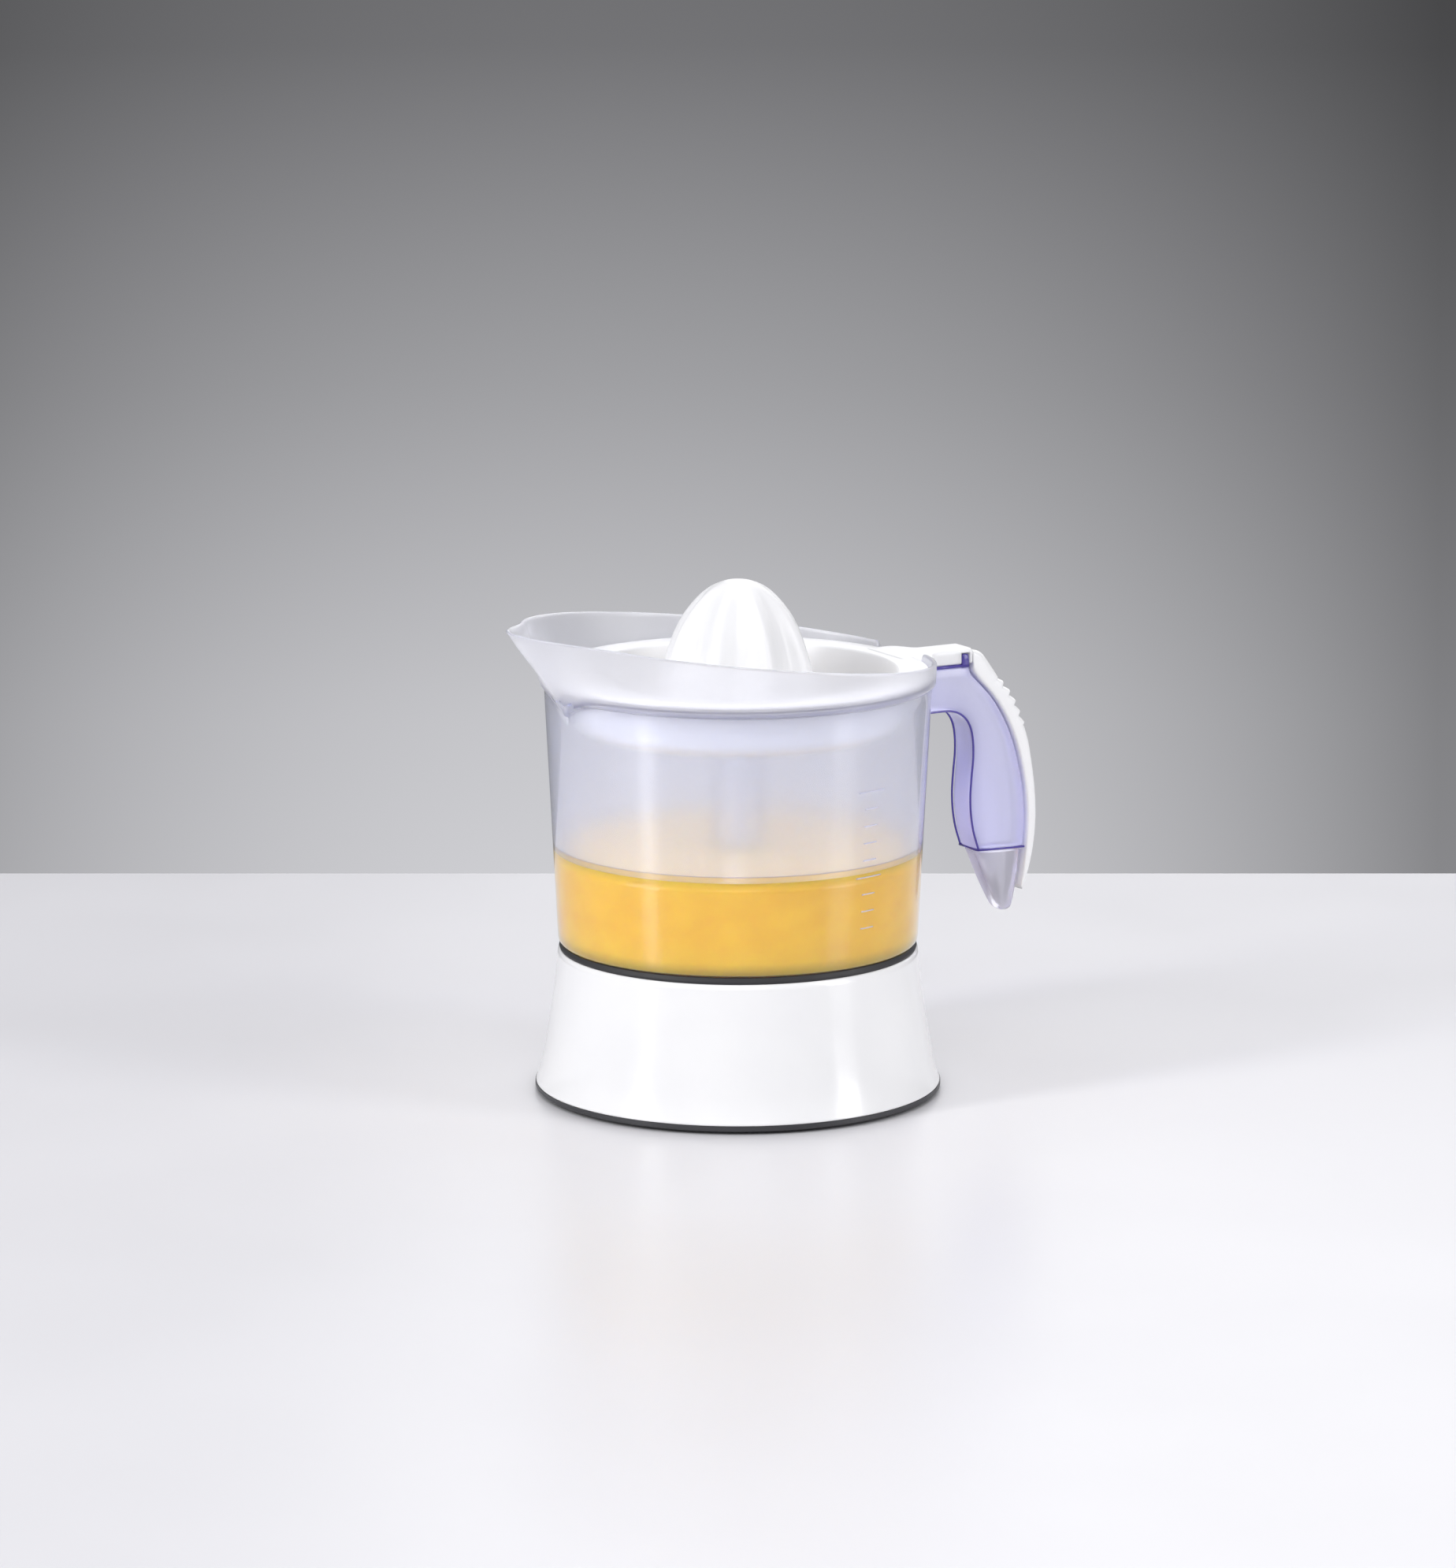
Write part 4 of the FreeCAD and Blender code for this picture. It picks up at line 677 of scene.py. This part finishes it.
def painted_handle_edge_lines():
    """Deep violet lines, painted shade where one looks along the handle's walls and they look darker."""
    wide = HALF_W - 0.55
    radius = 0.42
    pieces = []
    inside = [(a[0] + 0.35, a[1] + 0.25) for a, _ in GRIP]
    inside[0] = (79.0, ARM_BOTTOM_Z + 0.2)
    path = spline(inside, 6)
    for side in (-1, 1):
        pieces.append(tube("inner_line", [(x, side * wide, z) for x, z in path], radius))
        top = [(79.5, side * wide, ARM_TOP_Z - 0.15), (90.0, side * wide, ARM_TOP_Z - 0.15),
               (101.6, side * wide, ARM_TOP_Z - 0.1)]
        pieces.append(tube("top_line", top, 0.62))
        low_in, low_back = GRIP[-1]
        low = [(low_in[0] + 0.2, side * wide, low_in[1] + 0.1),
               (low_back[0] - 0.4, side * wide, low_back[1] + 0.1)]
        pieces.append(tube("low_line", low, 0.5))
    end_x, end_z = GRIP[-1][0]
    cross = [(end_x + 0.1, side * wide, end_z + 0.1) for side in (-1, 1)]
    pieces.append(tube("low_cross", cross, 0.5))
    return join("handle_painted_edge_lines", pieces)


def handle_lugs():
    """Two small upright lugs on the arm that locate the strainer's arm."""
    pieces = []
    for side in (-1, 1):
        rings = []
        for height, thick in ((-0.8, 1.0), (0.5, 1.0), (2.5, 0.96), (4.0, 0.85), (4.5, 0.6), (4.65, 0.3)):
            ring = []
            for k in range(20):
                angle = 2 * math.pi * k / 20
                c, s = math.cos(angle), math.sin(angle)
                x = 100.1 + 1.7 * thick * math.copysign(abs(c) ** 0.4, c)
                y = side * (HALF_W - 0.95) + 0.9 * thick * math.copysign(abs(s) ** 0.4, s)
                ring.append((x, y, ARM_TOP_Z + height))
            rings.append(ring)
        pieces.append(skin("lug", rings, capped=True))
    return join("handle_lugs", pieces)


def handle_tip():
    """Clear tapered end below the grip."""
    pairs = [((106.8, 84.6), (128.4, 84.0), HALF_W - 0.9), ((109.6, 78.0), (128.0, 77.6), 6.2),
             ((112.6, 71.4), (127.1, 71.0), 5.7), ((115.6, 65.4), (126.1, 65.2), 5.2),
             ((117.9, 61.2), (125.2, 61.4), 4.7), ((119.2, 59.4), (124.6, 59.8), 4.2),
             ((120.3, 58.6), (123.9, 58.8), 3.2)]
    flat = [(a[0], a[1], b[0], b[1], w) for a, b, w in pairs]
    rings = []
    for x0, z0, x1, z1, half in spline(flat, 5):
        rings.append(section((x0, z0), (x1, z1), half, 4.0))
    return skin("handle_end", rings, capped=True)


# Pairs of inner and outer points of the cover, from the seam down the handle's back.
COVER = [((103.7, 161.3), (103.7, 167.0)), ((104.0, 158.2), (108.8, 165.0)),
         ((107.4, 153.8), (113.2, 159.4)), ((111.6, 149.4), (117.0, 154.0)),
         ((117.0, 142.4), (122.8, 146.6)), ((121.2, 134.8), (127.2, 137.8)),
         ((124.6, 126.6), (130.6, 128.4)), ((127.3, 117.0), (132.6, 117.8)),
         ((129.1, 107.0), (134.0, 107.2)), ((129.8, 98.0), (134.4, 98.0)),
         ((129.6, 90.0), (134.0, 89.6)), ((128.9, 82.0), (132.6, 81.2)),
         ((127.9, 74.6), (130.4, 73.4)), ((126.8, 68.8), (127.7, 66.9))]
RIDGE_SPAN = (2.85, 5.4)   # stretch of the cover that has thumb ridges, in pairs
RIDGES = 5
RIDGE_H = 1.7


def handle_cover():
    """White cover over the handle's back, crowned, with stepped thumb ridges."""
    per = 22
    flat = [(a[0], a[1], b[0], b[1]) for a, b in COVER]
    rings = []
    for i, (x0, z0, x1, z1) in enumerate(spline(flat, per)):
        place = i / per
        inside = Vector((x0, z0))
        outside = Vector((x1, z1))
        out = (outside - inside).normalized()
        share = (place - RIDGE_SPAN[0]) / (RIDGE_SPAN[1] - RIDGE_SPAN[0])
        if 0 < share < 1:
            phase = (share * RIDGES) % 1.0
            tooth = phase / 0.8 if phase < 0.8 else (1 - phase) / 0.2
            outside = outside + out * RIDGE_H * (tooth - 0.5)
        ring = []
        count = 36
        centre = (inside + outside) / 2
        reach = (outside - inside) / 2
        for k in range(count):
            angle = 2 * math.pi * (k + 0.5) / count
            c, s = math.cos(angle), math.sin(angle)
            power = 4.2 if c > 0 else 9.0
            across = math.copysign(abs(c) ** (2 / power), c)
            wide = HALF_W * math.copysign(abs(s) ** (2 / power), s)
            ring.append((centre[0] + reach[0] * across, wide, centre[1] + reach[1] * across))
        rings.append(ring)
    return skin("handle_back_cover", rings, capped=True)


dress(handle(), VIOLET, "jug", "handle_violet", "handle_shell")
# Painted shade: dark lines along the handle's edges, where its walls are seen edge-on.
dress(painted_handle_edge_lines(), DEEP_VIOLET_AND_EDGE_SHADE, "jug", "handle_violet")
dress(handle_lugs(), DEEP_VIOLET_AND_EDGE_SHADE, "jug", "handle_violet")
dress(handle_tip(), TIP_CLEAR, "jug", "tip_clear", "handle_tip")
dress(handle_cover(), WHITE_GLOSS, "jug", "white_gloss", "handle_cover")


# ---------------------------------------------------------------------------- strainer
SLOT_CELLS = 144
OUTER_SLOT = (35.5, 55.0)
INNER_SLOT = (19.0, 31.5)
FLANGE_R = 74.9
LUG_ROOM = ((98.0, 98.1), (102.1, 102.2))   # ends of the arm's side notches
LUG_ROOM_Y = 5.4
LUG_ROOM_Z = 165.6


def strainer_bowl():
    """White bowl with its slotted floor, wall, flange and hub, as one polar mesh."""
    floor, top = STRAINER_FLOOR_Z, STRAINER_TOP_Z
    upper = [(13.6, floor + 2.2), (INNER_SLOT[0], floor + 2.0), (INNER_SLOT[1], floor + 2.0),
             (OUTER_SLOT[0], floor + 2.0), (OUTER_SLOT[1], floor + 2.0), (57.4, floor + 2.3),
             (59.6, floor + 3.4), (60.9, floor + 5.0), (61.5, floor + 7.0), (61.9, floor + 14.0),
             (62.2, top - 1.0), (62.5, top - 0.3), (63.1, top), (66.0, top), (70.0, top - 0.1),
             (73.8, top), (74.6, top - 0.3), (FLANGE_R, top - 0.9)]
    lower = [(FLANGE_R, top - 1.5), (74.6, top - 2.1), (73.8, top - 2.3), (66.0, top - 2.4),
             (64.9, top - 2.6), (64.5, top - 3.4), (64.2, floor + 12.0), (63.9, floor + 6.0),
             (63.2, floor + 3.6),
             (61.6, floor + 1.6), (59.2, floor + 0.4), (57.0, floor), (OUTER_SLOT[1], floor),
             (OUTER_SLOT[0], floor), (INNER_SLOT[1], floor), (INNER_SLOT[0], floor), (13.6, floor)]
    hub_top = 158.0
    hub = [(10.4, floor), (10.2, floor + 0.4), (10.2, hub_top - 4.0), (8.3, hub_top - 4.0),
           (8.08, hub_top - 3.8), (8.08, hub_top - 0.3), (8.4, hub_top), (11.6, hub_top),
           (12.1, hub_top - 0.5), (12.7, hub_top - 6.0), (13.0, floor + 3.6)]
    path = upper + lower + hub
    slots = {}
    for radii in (OUTER_SLOT, INNER_SLOT):
        for i, (r, z) in enumerate(path[:-1]):
            if {r, path[i + 1][0]} == set(radii):
                slots[i] = radii
    rings = []
    for r, z in path:
        ring = []
        for k in range(SLOT_CELLS * 2):
            angle = math.pi * (k - 0.5) / SLOT_CELLS
            ring.append((r * math.cos(angle), r * math.sin(angle), z))
        rings.append(ring)
    count = SLOT_CELLS * 2
    verts = [point for ring in rings for point in ring]
    faces = []

    def open_cell(i, k):
        if i not in slots:
            return False
        if slots[i] == OUTER_SLOT:
            return k % 8 in (0, 1, 2)
        return k % 12 in (0, 1, 2, 3, 4)

    levels = {}
    for i in range(len(path)):
        n = (i + 1) % len(path)
        for k in range(count):
            m = (k + 1) % count
            if open_cell(i, k):
                levels.setdefault((slots[i], k), []).append(i)
                continue
            faces.append((i * count + k, i * count + m, n * count + m, n * count + k))
    for (radii, k), pair in levels.items():
        up, down = pair
        m = (k + 1) % count
        up_a, up_b = up, up + 1
        low_a, low_b = down + 1, down
        if not open_cell(up, (k - 1) % count):
            faces.append((up_a * count + k, up_b * count + k, low_b * count + k, low_a * count + k))
        if not open_cell(up, m):
            faces.append((up_a * count + m, up_b * count + m, low_b * count + m, low_a * count + m))
        faces.append((up_a * count + k, up_a * count + m, low_a * count + m, low_a * count + k))
        faces.append((up_b * count + k, up_b * count + m, low_b * count + m, low_b * count + k))
    return finish_mesh("strainer_bowl", verts, faces)


def strainer_arm():
    """Channel from the flange through the rim's notch and over the handle's arm."""
    top = STRAINER_TOP_Z + 0.02
    stations = [(66.5, 15.8, 2.2), (74.0, 15.8, 2.2), (77.5, 15.7, 2.2), (79.6, 15.0, 2.3), (81.4, 13.2, 3.4),
                (82.9, 10.6, 5.0), (84.4, 8.4, 5.9), (86.0, HALF_W + 0.1, 6.2), (88.5, HALF_W, 6.2),
                (95.0, HALF_W, 6.2), (102.6, HALF_W, 6.2), (SEAM_X - 0.4, HALF_W - 0.3, 5.9)]
    path = spline(stations[:-2], 4)
    path += [(x, HALF_W, 6.2) for x in (*LUG_ROOM[0], *LUG_ROOM[1], 102.6, 103.0)]
    path.append(stations[-1])
    rings = []
    for x, half, depth in path:
        ring = []
        count = 40
        for k in range(count):
            angle = 2 * math.pi * (k + 0.5) / count
            c, s = math.cos(angle), math.sin(angle)
            power = 5.0 if s > 0 else 9.0
            y = half * math.copysign(abs(c) ** (2 / 7.0), c)
            z = top - depth / 2 + depth / 2 * math.copysign(abs(s) ** (2 / power), s)
            if LUG_ROOM[0][1] <= x <= LUG_ROOM[1][0] and z < LUG_ROOM_Z:
                y = max(-LUG_ROOM_Y, min(LUG_ROOM_Y, y))
            ring.append((x, y, z))
        rings.append(ring)
    return skin("strainer_arm", rings, capped=True)


bowl = dress(strainer_bowl(), WHITE_SATIN, "strainer", "white_satin", "strainer")
add_bevel(bowl, 0.22, 2, 50)
dress(strainer_arm(), WHITE_SATIN, "strainer", "white_satin")


# -------------------------------------------------------------------------------- cone
CONE_RIBS = 8
CONE_RIB_DEG = 40.0
CONE_PROFILE = [(0.0, 202.8), (2.6, 202.7), (5.6, 202.2), (10.4, 200.2), (14.8, 197.1), (18.9, 192.9),
                (22.8, 187.8), (26.1, 181.8), (28.7, 175.1), (30.8, 167.9), (32.2, 161.2)]
RIB_DEPTH = 0.15          # of the radius
CONE_WALL = 2.2
TIP_R = 0.001
BOSS_R = 9.6
BOSS_Z = (162.9, 181.0)
SOCKET_FLAT = 12.1        # across the flats of the driver's socket
SOCKET_TOP_Z = 176.1


def cone_point(radius, z, turn, depth):
    """Point of the dome; between the ribs the surface is scooped in."""
    pitch = 360 / CONE_RIBS
    phase = ((math.degrees(turn) - CONE_RIB_DEG) % pitch) / pitch
    from_valley = abs(2 * phase - 1)
    scoop = 1 - blend_step(0.02, 0.94, math.hypot(from_valley, 0.1) - 0.09)
    reach = radius * (1 - depth * scoop)
    return (reach * math.cos(turn), reach * math.sin(turn), z)


def cone():
    """Reaming cone with scooped flanks between crisp ribs, hollow underneath."""
    segments = 288
    outer = spline(CONE_PROFILE, 6)
    last = len(outer) - 1
    rings = []

    def ring_of(radius, z, depth):
        return [cone_point(radius, z, 2 * math.pi * k / segments, depth) for k in range(segments)]

    def scoop_depth(share):
        return RIB_DEPTH * blend_step(0.16, 0.5, share) * (1 - 0.25 * blend_step(0.9, 1.0, share))

    for i, (r, z) in enumerate(outer):
        rings.append(ring_of(max(r, TIP_R), z, scoop_depth(i / last)))
    low = CONE_LOW[2]
    rim = (CONE_HIGH[0] - CONE_LOW[0]) / 2
    lip = [(31.4, low + 2.6), (32.3, low + 2.0), (rim - 0.6, low + 1.8), (rim, low + 1.2), (rim, low + 0.6),
           (rim - 0.5, low), (30.2, low), (29.4, low + 0.5)]
    for r, z in lip:
        rings.append(ring_of(r, z, 0.0))
    for i, (r, z) in enumerate(reversed(outer)):
        inner_r = max(r * 0.93 - 0.2, TIP_R)
        rings.append(ring_of(inner_r, z - CONE_WALL, scoop_depth(1 - i / last)))
    return skin("cone_dome", rings)


def cone_boss():
    """Boss inside the cone with a hexagonal socket for the driver."""
    low, high = BOSS_Z
    segments = 72
    rings = []
    corner = SOCKET_FLAT / math.sqrt(3)
    for r, z, hexed in ((BOSS_R, high, False), (BOSS_R, low + 0.5, False), (BOSS_R - 0.5, low, False),
                        (0.0, low, True), (0.0, SOCKET_TOP_Z, True)):
        ring = []
        for k in range(segments):
            angle = 2 * math.pi * k / segments
            radius = r
            if hexed:
                turn = (angle % (math.pi / 3)) - math.pi / 6
                radius = corner * math.cos(math.pi / 6) / math.cos(turn)
            ring.append((radius * math.cos(angle), radius * math.sin(angle), z))
        rings.append(ring)
    return skin("cone_boss", rings, capped=True)


dress(cone(), WHITE_SATIN, "cone", "white_satin", "cone")
dress(cone_boss(), WHITE_SATIN, "cone", "white_satin")


# ---------------------------------------------------------- carried-over CAD materials
# The bottom cover is dark partly as painted shade: its rim below the white housing stands for the shadow in
# the gap under the base.
CARRIED = {
    "cord_grommet": DARK_RUBBER_AND_GAP_SHADE, "bottom_cover": DARK_PLASTIC_AND_GAP_SHADE, "foot_ring": DARK_RUBBER_AND_GAP_SHADE,
    "cover_screws": ZINC, "lower_plate": CHASSIS, "upper_plate": CHASSIS, "plate_posts": ZINC,
    "plate_screws": ZINC, "lower_output_bush": BRONZE, "upper_output_bush": BRONZE,
    "stator_core": LAMINATED, "left_bobbin": BOBBIN, "right_bobbin": BOBBIN,
    "left_winding": COPPER, "right_winding": COPPER, "motor_bracket": ZINC,
    "rotor_bushes": BRONZE, "stator_screws": ZINC, "rotor_magnet": FERRITE,
    "rotor_shaft": GROUND, "rotor_pinion": ACETAL, "first_gear": ACETAL,
    "first_gear_axle": GROUND, "output_gear": ACETAL, "return_spring": WIRE,
    "spindle": GROUND, "spindle_clip": WIRE, "spindle_seal": DARK_RUBBER_AND_GAP_SHADE,
    "switch_lever": CHASSIS, "lever_pin": GROUND, "switch_bracket": ZINC,
    "microswitch": DARK_PLASTIC_AND_GAP_SHADE, "switch_button": SWITCH_RED, "hub_bush": ACETAL,
    "cone_driver": ACETAL,
}
for node, material in CARRIED.items():
    mesh = NODES[node].data
    mesh.materials.clear()
    mesh.materials.append(material)


# ------------------------------------------------------------------------------- stage
VIEW_TURN = math.radians(30)      # the camera stands this far round from the front
FIELD = 0.2053                    # width of the picture over its distance


def turned(across, away, z):
    """Point given across and away from the camera, in the row's frame, in metres."""
    x = across * math.cos(VIEW_TURN) + away * math.sin(VIEW_TURN)
    y = -across * math.sin(VIEW_TURN) + away * math.cos(VIEW_TURN)
    return Vector((x, y, z))


def table():
    """Pale table with a straight far edge."""
    half, near, far, thick = 2.6, -3.2, 0.40, 0.03
    corners = [(-half, near), (half, near), (half, far), (-half, far)]
    verts = [turned(a, b, 0) / MM for a, b in corners] + [turned(a, b, -thick) / MM for a, b in corners]
    faces = [(0, 1, 2, 3), (7, 6, 5, 4), (0, 4, 5, 1), (1, 5, 6, 2), (2, 6, 7, 3), (3, 7, 4, 0)]
    top = finish_mesh("table_top", verts, faces)
    for face in top.data.polygons:
        face.use_smooth = False
    material, tree, shader = new_material("pale_table")
    tree.links.new(two_tones(tree, noise(tree, 3.0, 3.0), (0.68, 0.675, 0.70), (0.70, 0.695, 0.72)),
                   shader.inputs["Base Color"])
    tree.links.new(spread(tree, noise(tree, 9.0, 4.0), 0.3, 0.36), shader.inputs["Roughness"])
    top.data.materials.append(material)


def backdrop():
    """Grey world: light at the table's far edge, darker above it and to the sides."""
    world = bpy.data.worlds.new("studio")
    world.use_nodes = True
    bpy.context.scene.world = world
    tree = world.node_tree
    background = tree.nodes["Background"]
    coordinates = tree.nodes.new("ShaderNodeTexCoord")
    split = tree.nodes.new("ShaderNodeSeparateXYZ")
    tree.links.new(coordinates.outputs["Generated"], split.inputs["Vector"])

    def ranged(value, low, high, out_low, out_high):
        node = tree.nodes.new("ShaderNodeMapRange")
        node.inputs["From Min"].default_value = low
        node.inputs["From Max"].default_value = high
        node.inputs["To Min"].default_value = out_low
        node.inputs["To Max"].default_value = out_high
        tree.links.new(value, node.inputs["Value"])
        return node.outputs["Result"]

    def combine(operation, first, second):
        node = tree.nodes.new("ShaderNodeMath")
        node.operation = operation
        for socket, value in zip(node.inputs, (first, second)):
            if isinstance(value, (int, float)):
                socket.default_value = value
            else:
                tree.links.new(value, socket)
        return node.outputs["Value"]

    ramp = tree.nodes.new("ShaderNodeValToRGB")
    tree.links.new(ranged(split.outputs["Z"], -0.24, 0.96, 0.0, 1.0), ramp.inputs["Fac"])
    stops = [(0.0, 0.64), (0.0278, 0.61), (0.0442, 0.56), (0.0806, 0.352), (0.1211, 0.171),
             (0.16, 0.12), (0.26, 0.25), (0.55, 0.42), (1.0, 0.5)]
    elements = ramp.color_ramp.elements
    elements[0].position, elements[1].position = stops[0][0], stops[-1][0]
    elements[0].color = (stops[0][1], stops[0][1], stops[0][1] * 1.045, 1)
    elements[1].color = (stops[-1][1], stops[-1][1], stops[-1][1] * 1.045, 1)
    for position, value in stops[1:-1]:
        element = elements.new(position)
        element.color = (value, value, value * 1.045, 1)
    across = tree.nodes.new("ShaderNodeVectorMath")
    across.operation = "DOT_PRODUCT"
    across.inputs[1].default_value = turned(1 / FIELD, 0, 0)
    tree.links.new(coordinates.outputs["Generated"], across.inputs[0])
    side = across.outputs["Value"]
    squared = combine("MULTIPLY", side, side)
    shade = combine("ADD", combine("MULTIPLY", side, 0.278), combine("MULTIPLY", squared, 1.98))
    shade = combine("MINIMUM", shade, 0.6)
    low_down = ranged(split.outputs["Z"], -0.07, 0.0, 1.0, 0.0)
    strength = combine("SUBTRACT", 1.0, combine("MULTIPLY", shade, low_down))
    tree.links.new(ramp.outputs["Color"], background.inputs["Color"])
    tree.links.new(strength, background.inputs["Strength"])


def softbox(name, place, target, size, watts):
    light = bpy.data.lights.new(name, "AREA")
    light.shape = "RECTANGLE"
    light.size, light.size_y = size
    light.energy = watts
    lamp = bpy.data.objects.new(name, light)
    bpy.context.scene.collection.objects.link(lamp)
    lamp.location = turned(*place)
    aim = turned(*target) - lamp.location
    lamp.rotation_euler = aim.to_track_quat("-Z", "Y").to_euler()


def camera():
    """Long lens, from the front left and a little above."""
    data = bpy.data.cameras.new("camera")
    data.lens = 162.8
    data.sensor_width = 36.0
    data.clip_end = 50.0
    eye = bpy.data.objects.new("camera", data)
    bpy.context.scene.collection.objects.link(eye)
    eye.location = turned(-0.0039, -2.7218, 0.6697)
    pitch = math.radians(11.385)
    aim = turned(0, math.cos(pitch), -math.sin(pitch))
    eye.rotation_euler = aim.to_track_quat("-Z", "Y").to_euler()
    bpy.context.scene.camera = eye


table()
backdrop()
softbox("top_light", (-0.1, 0.1, 1.7), (0, 0, 0.1), (1.8, 1.6), 8.5)
softbox("left_light", (-1.5, -1.0, 0.9), (0, 0, 0.1), (0.28, 1.5), 20.5)
softbox("right_light", (1.6, -0.7, 0.8), (0, 0, 0.1), (0.5, 1.5), 13)
softbox("front_light", (0.0, -2.2, 2.0), (0, 0, 0.1), (1.6, 1.0), 17)
softbox("back_light", (0.5, 1.5, 0.9), (0, 0, 0.15), (1.6, 0.9), 7)
camera()
bpy.context.scene.view_settings.view_transform = "Standard"
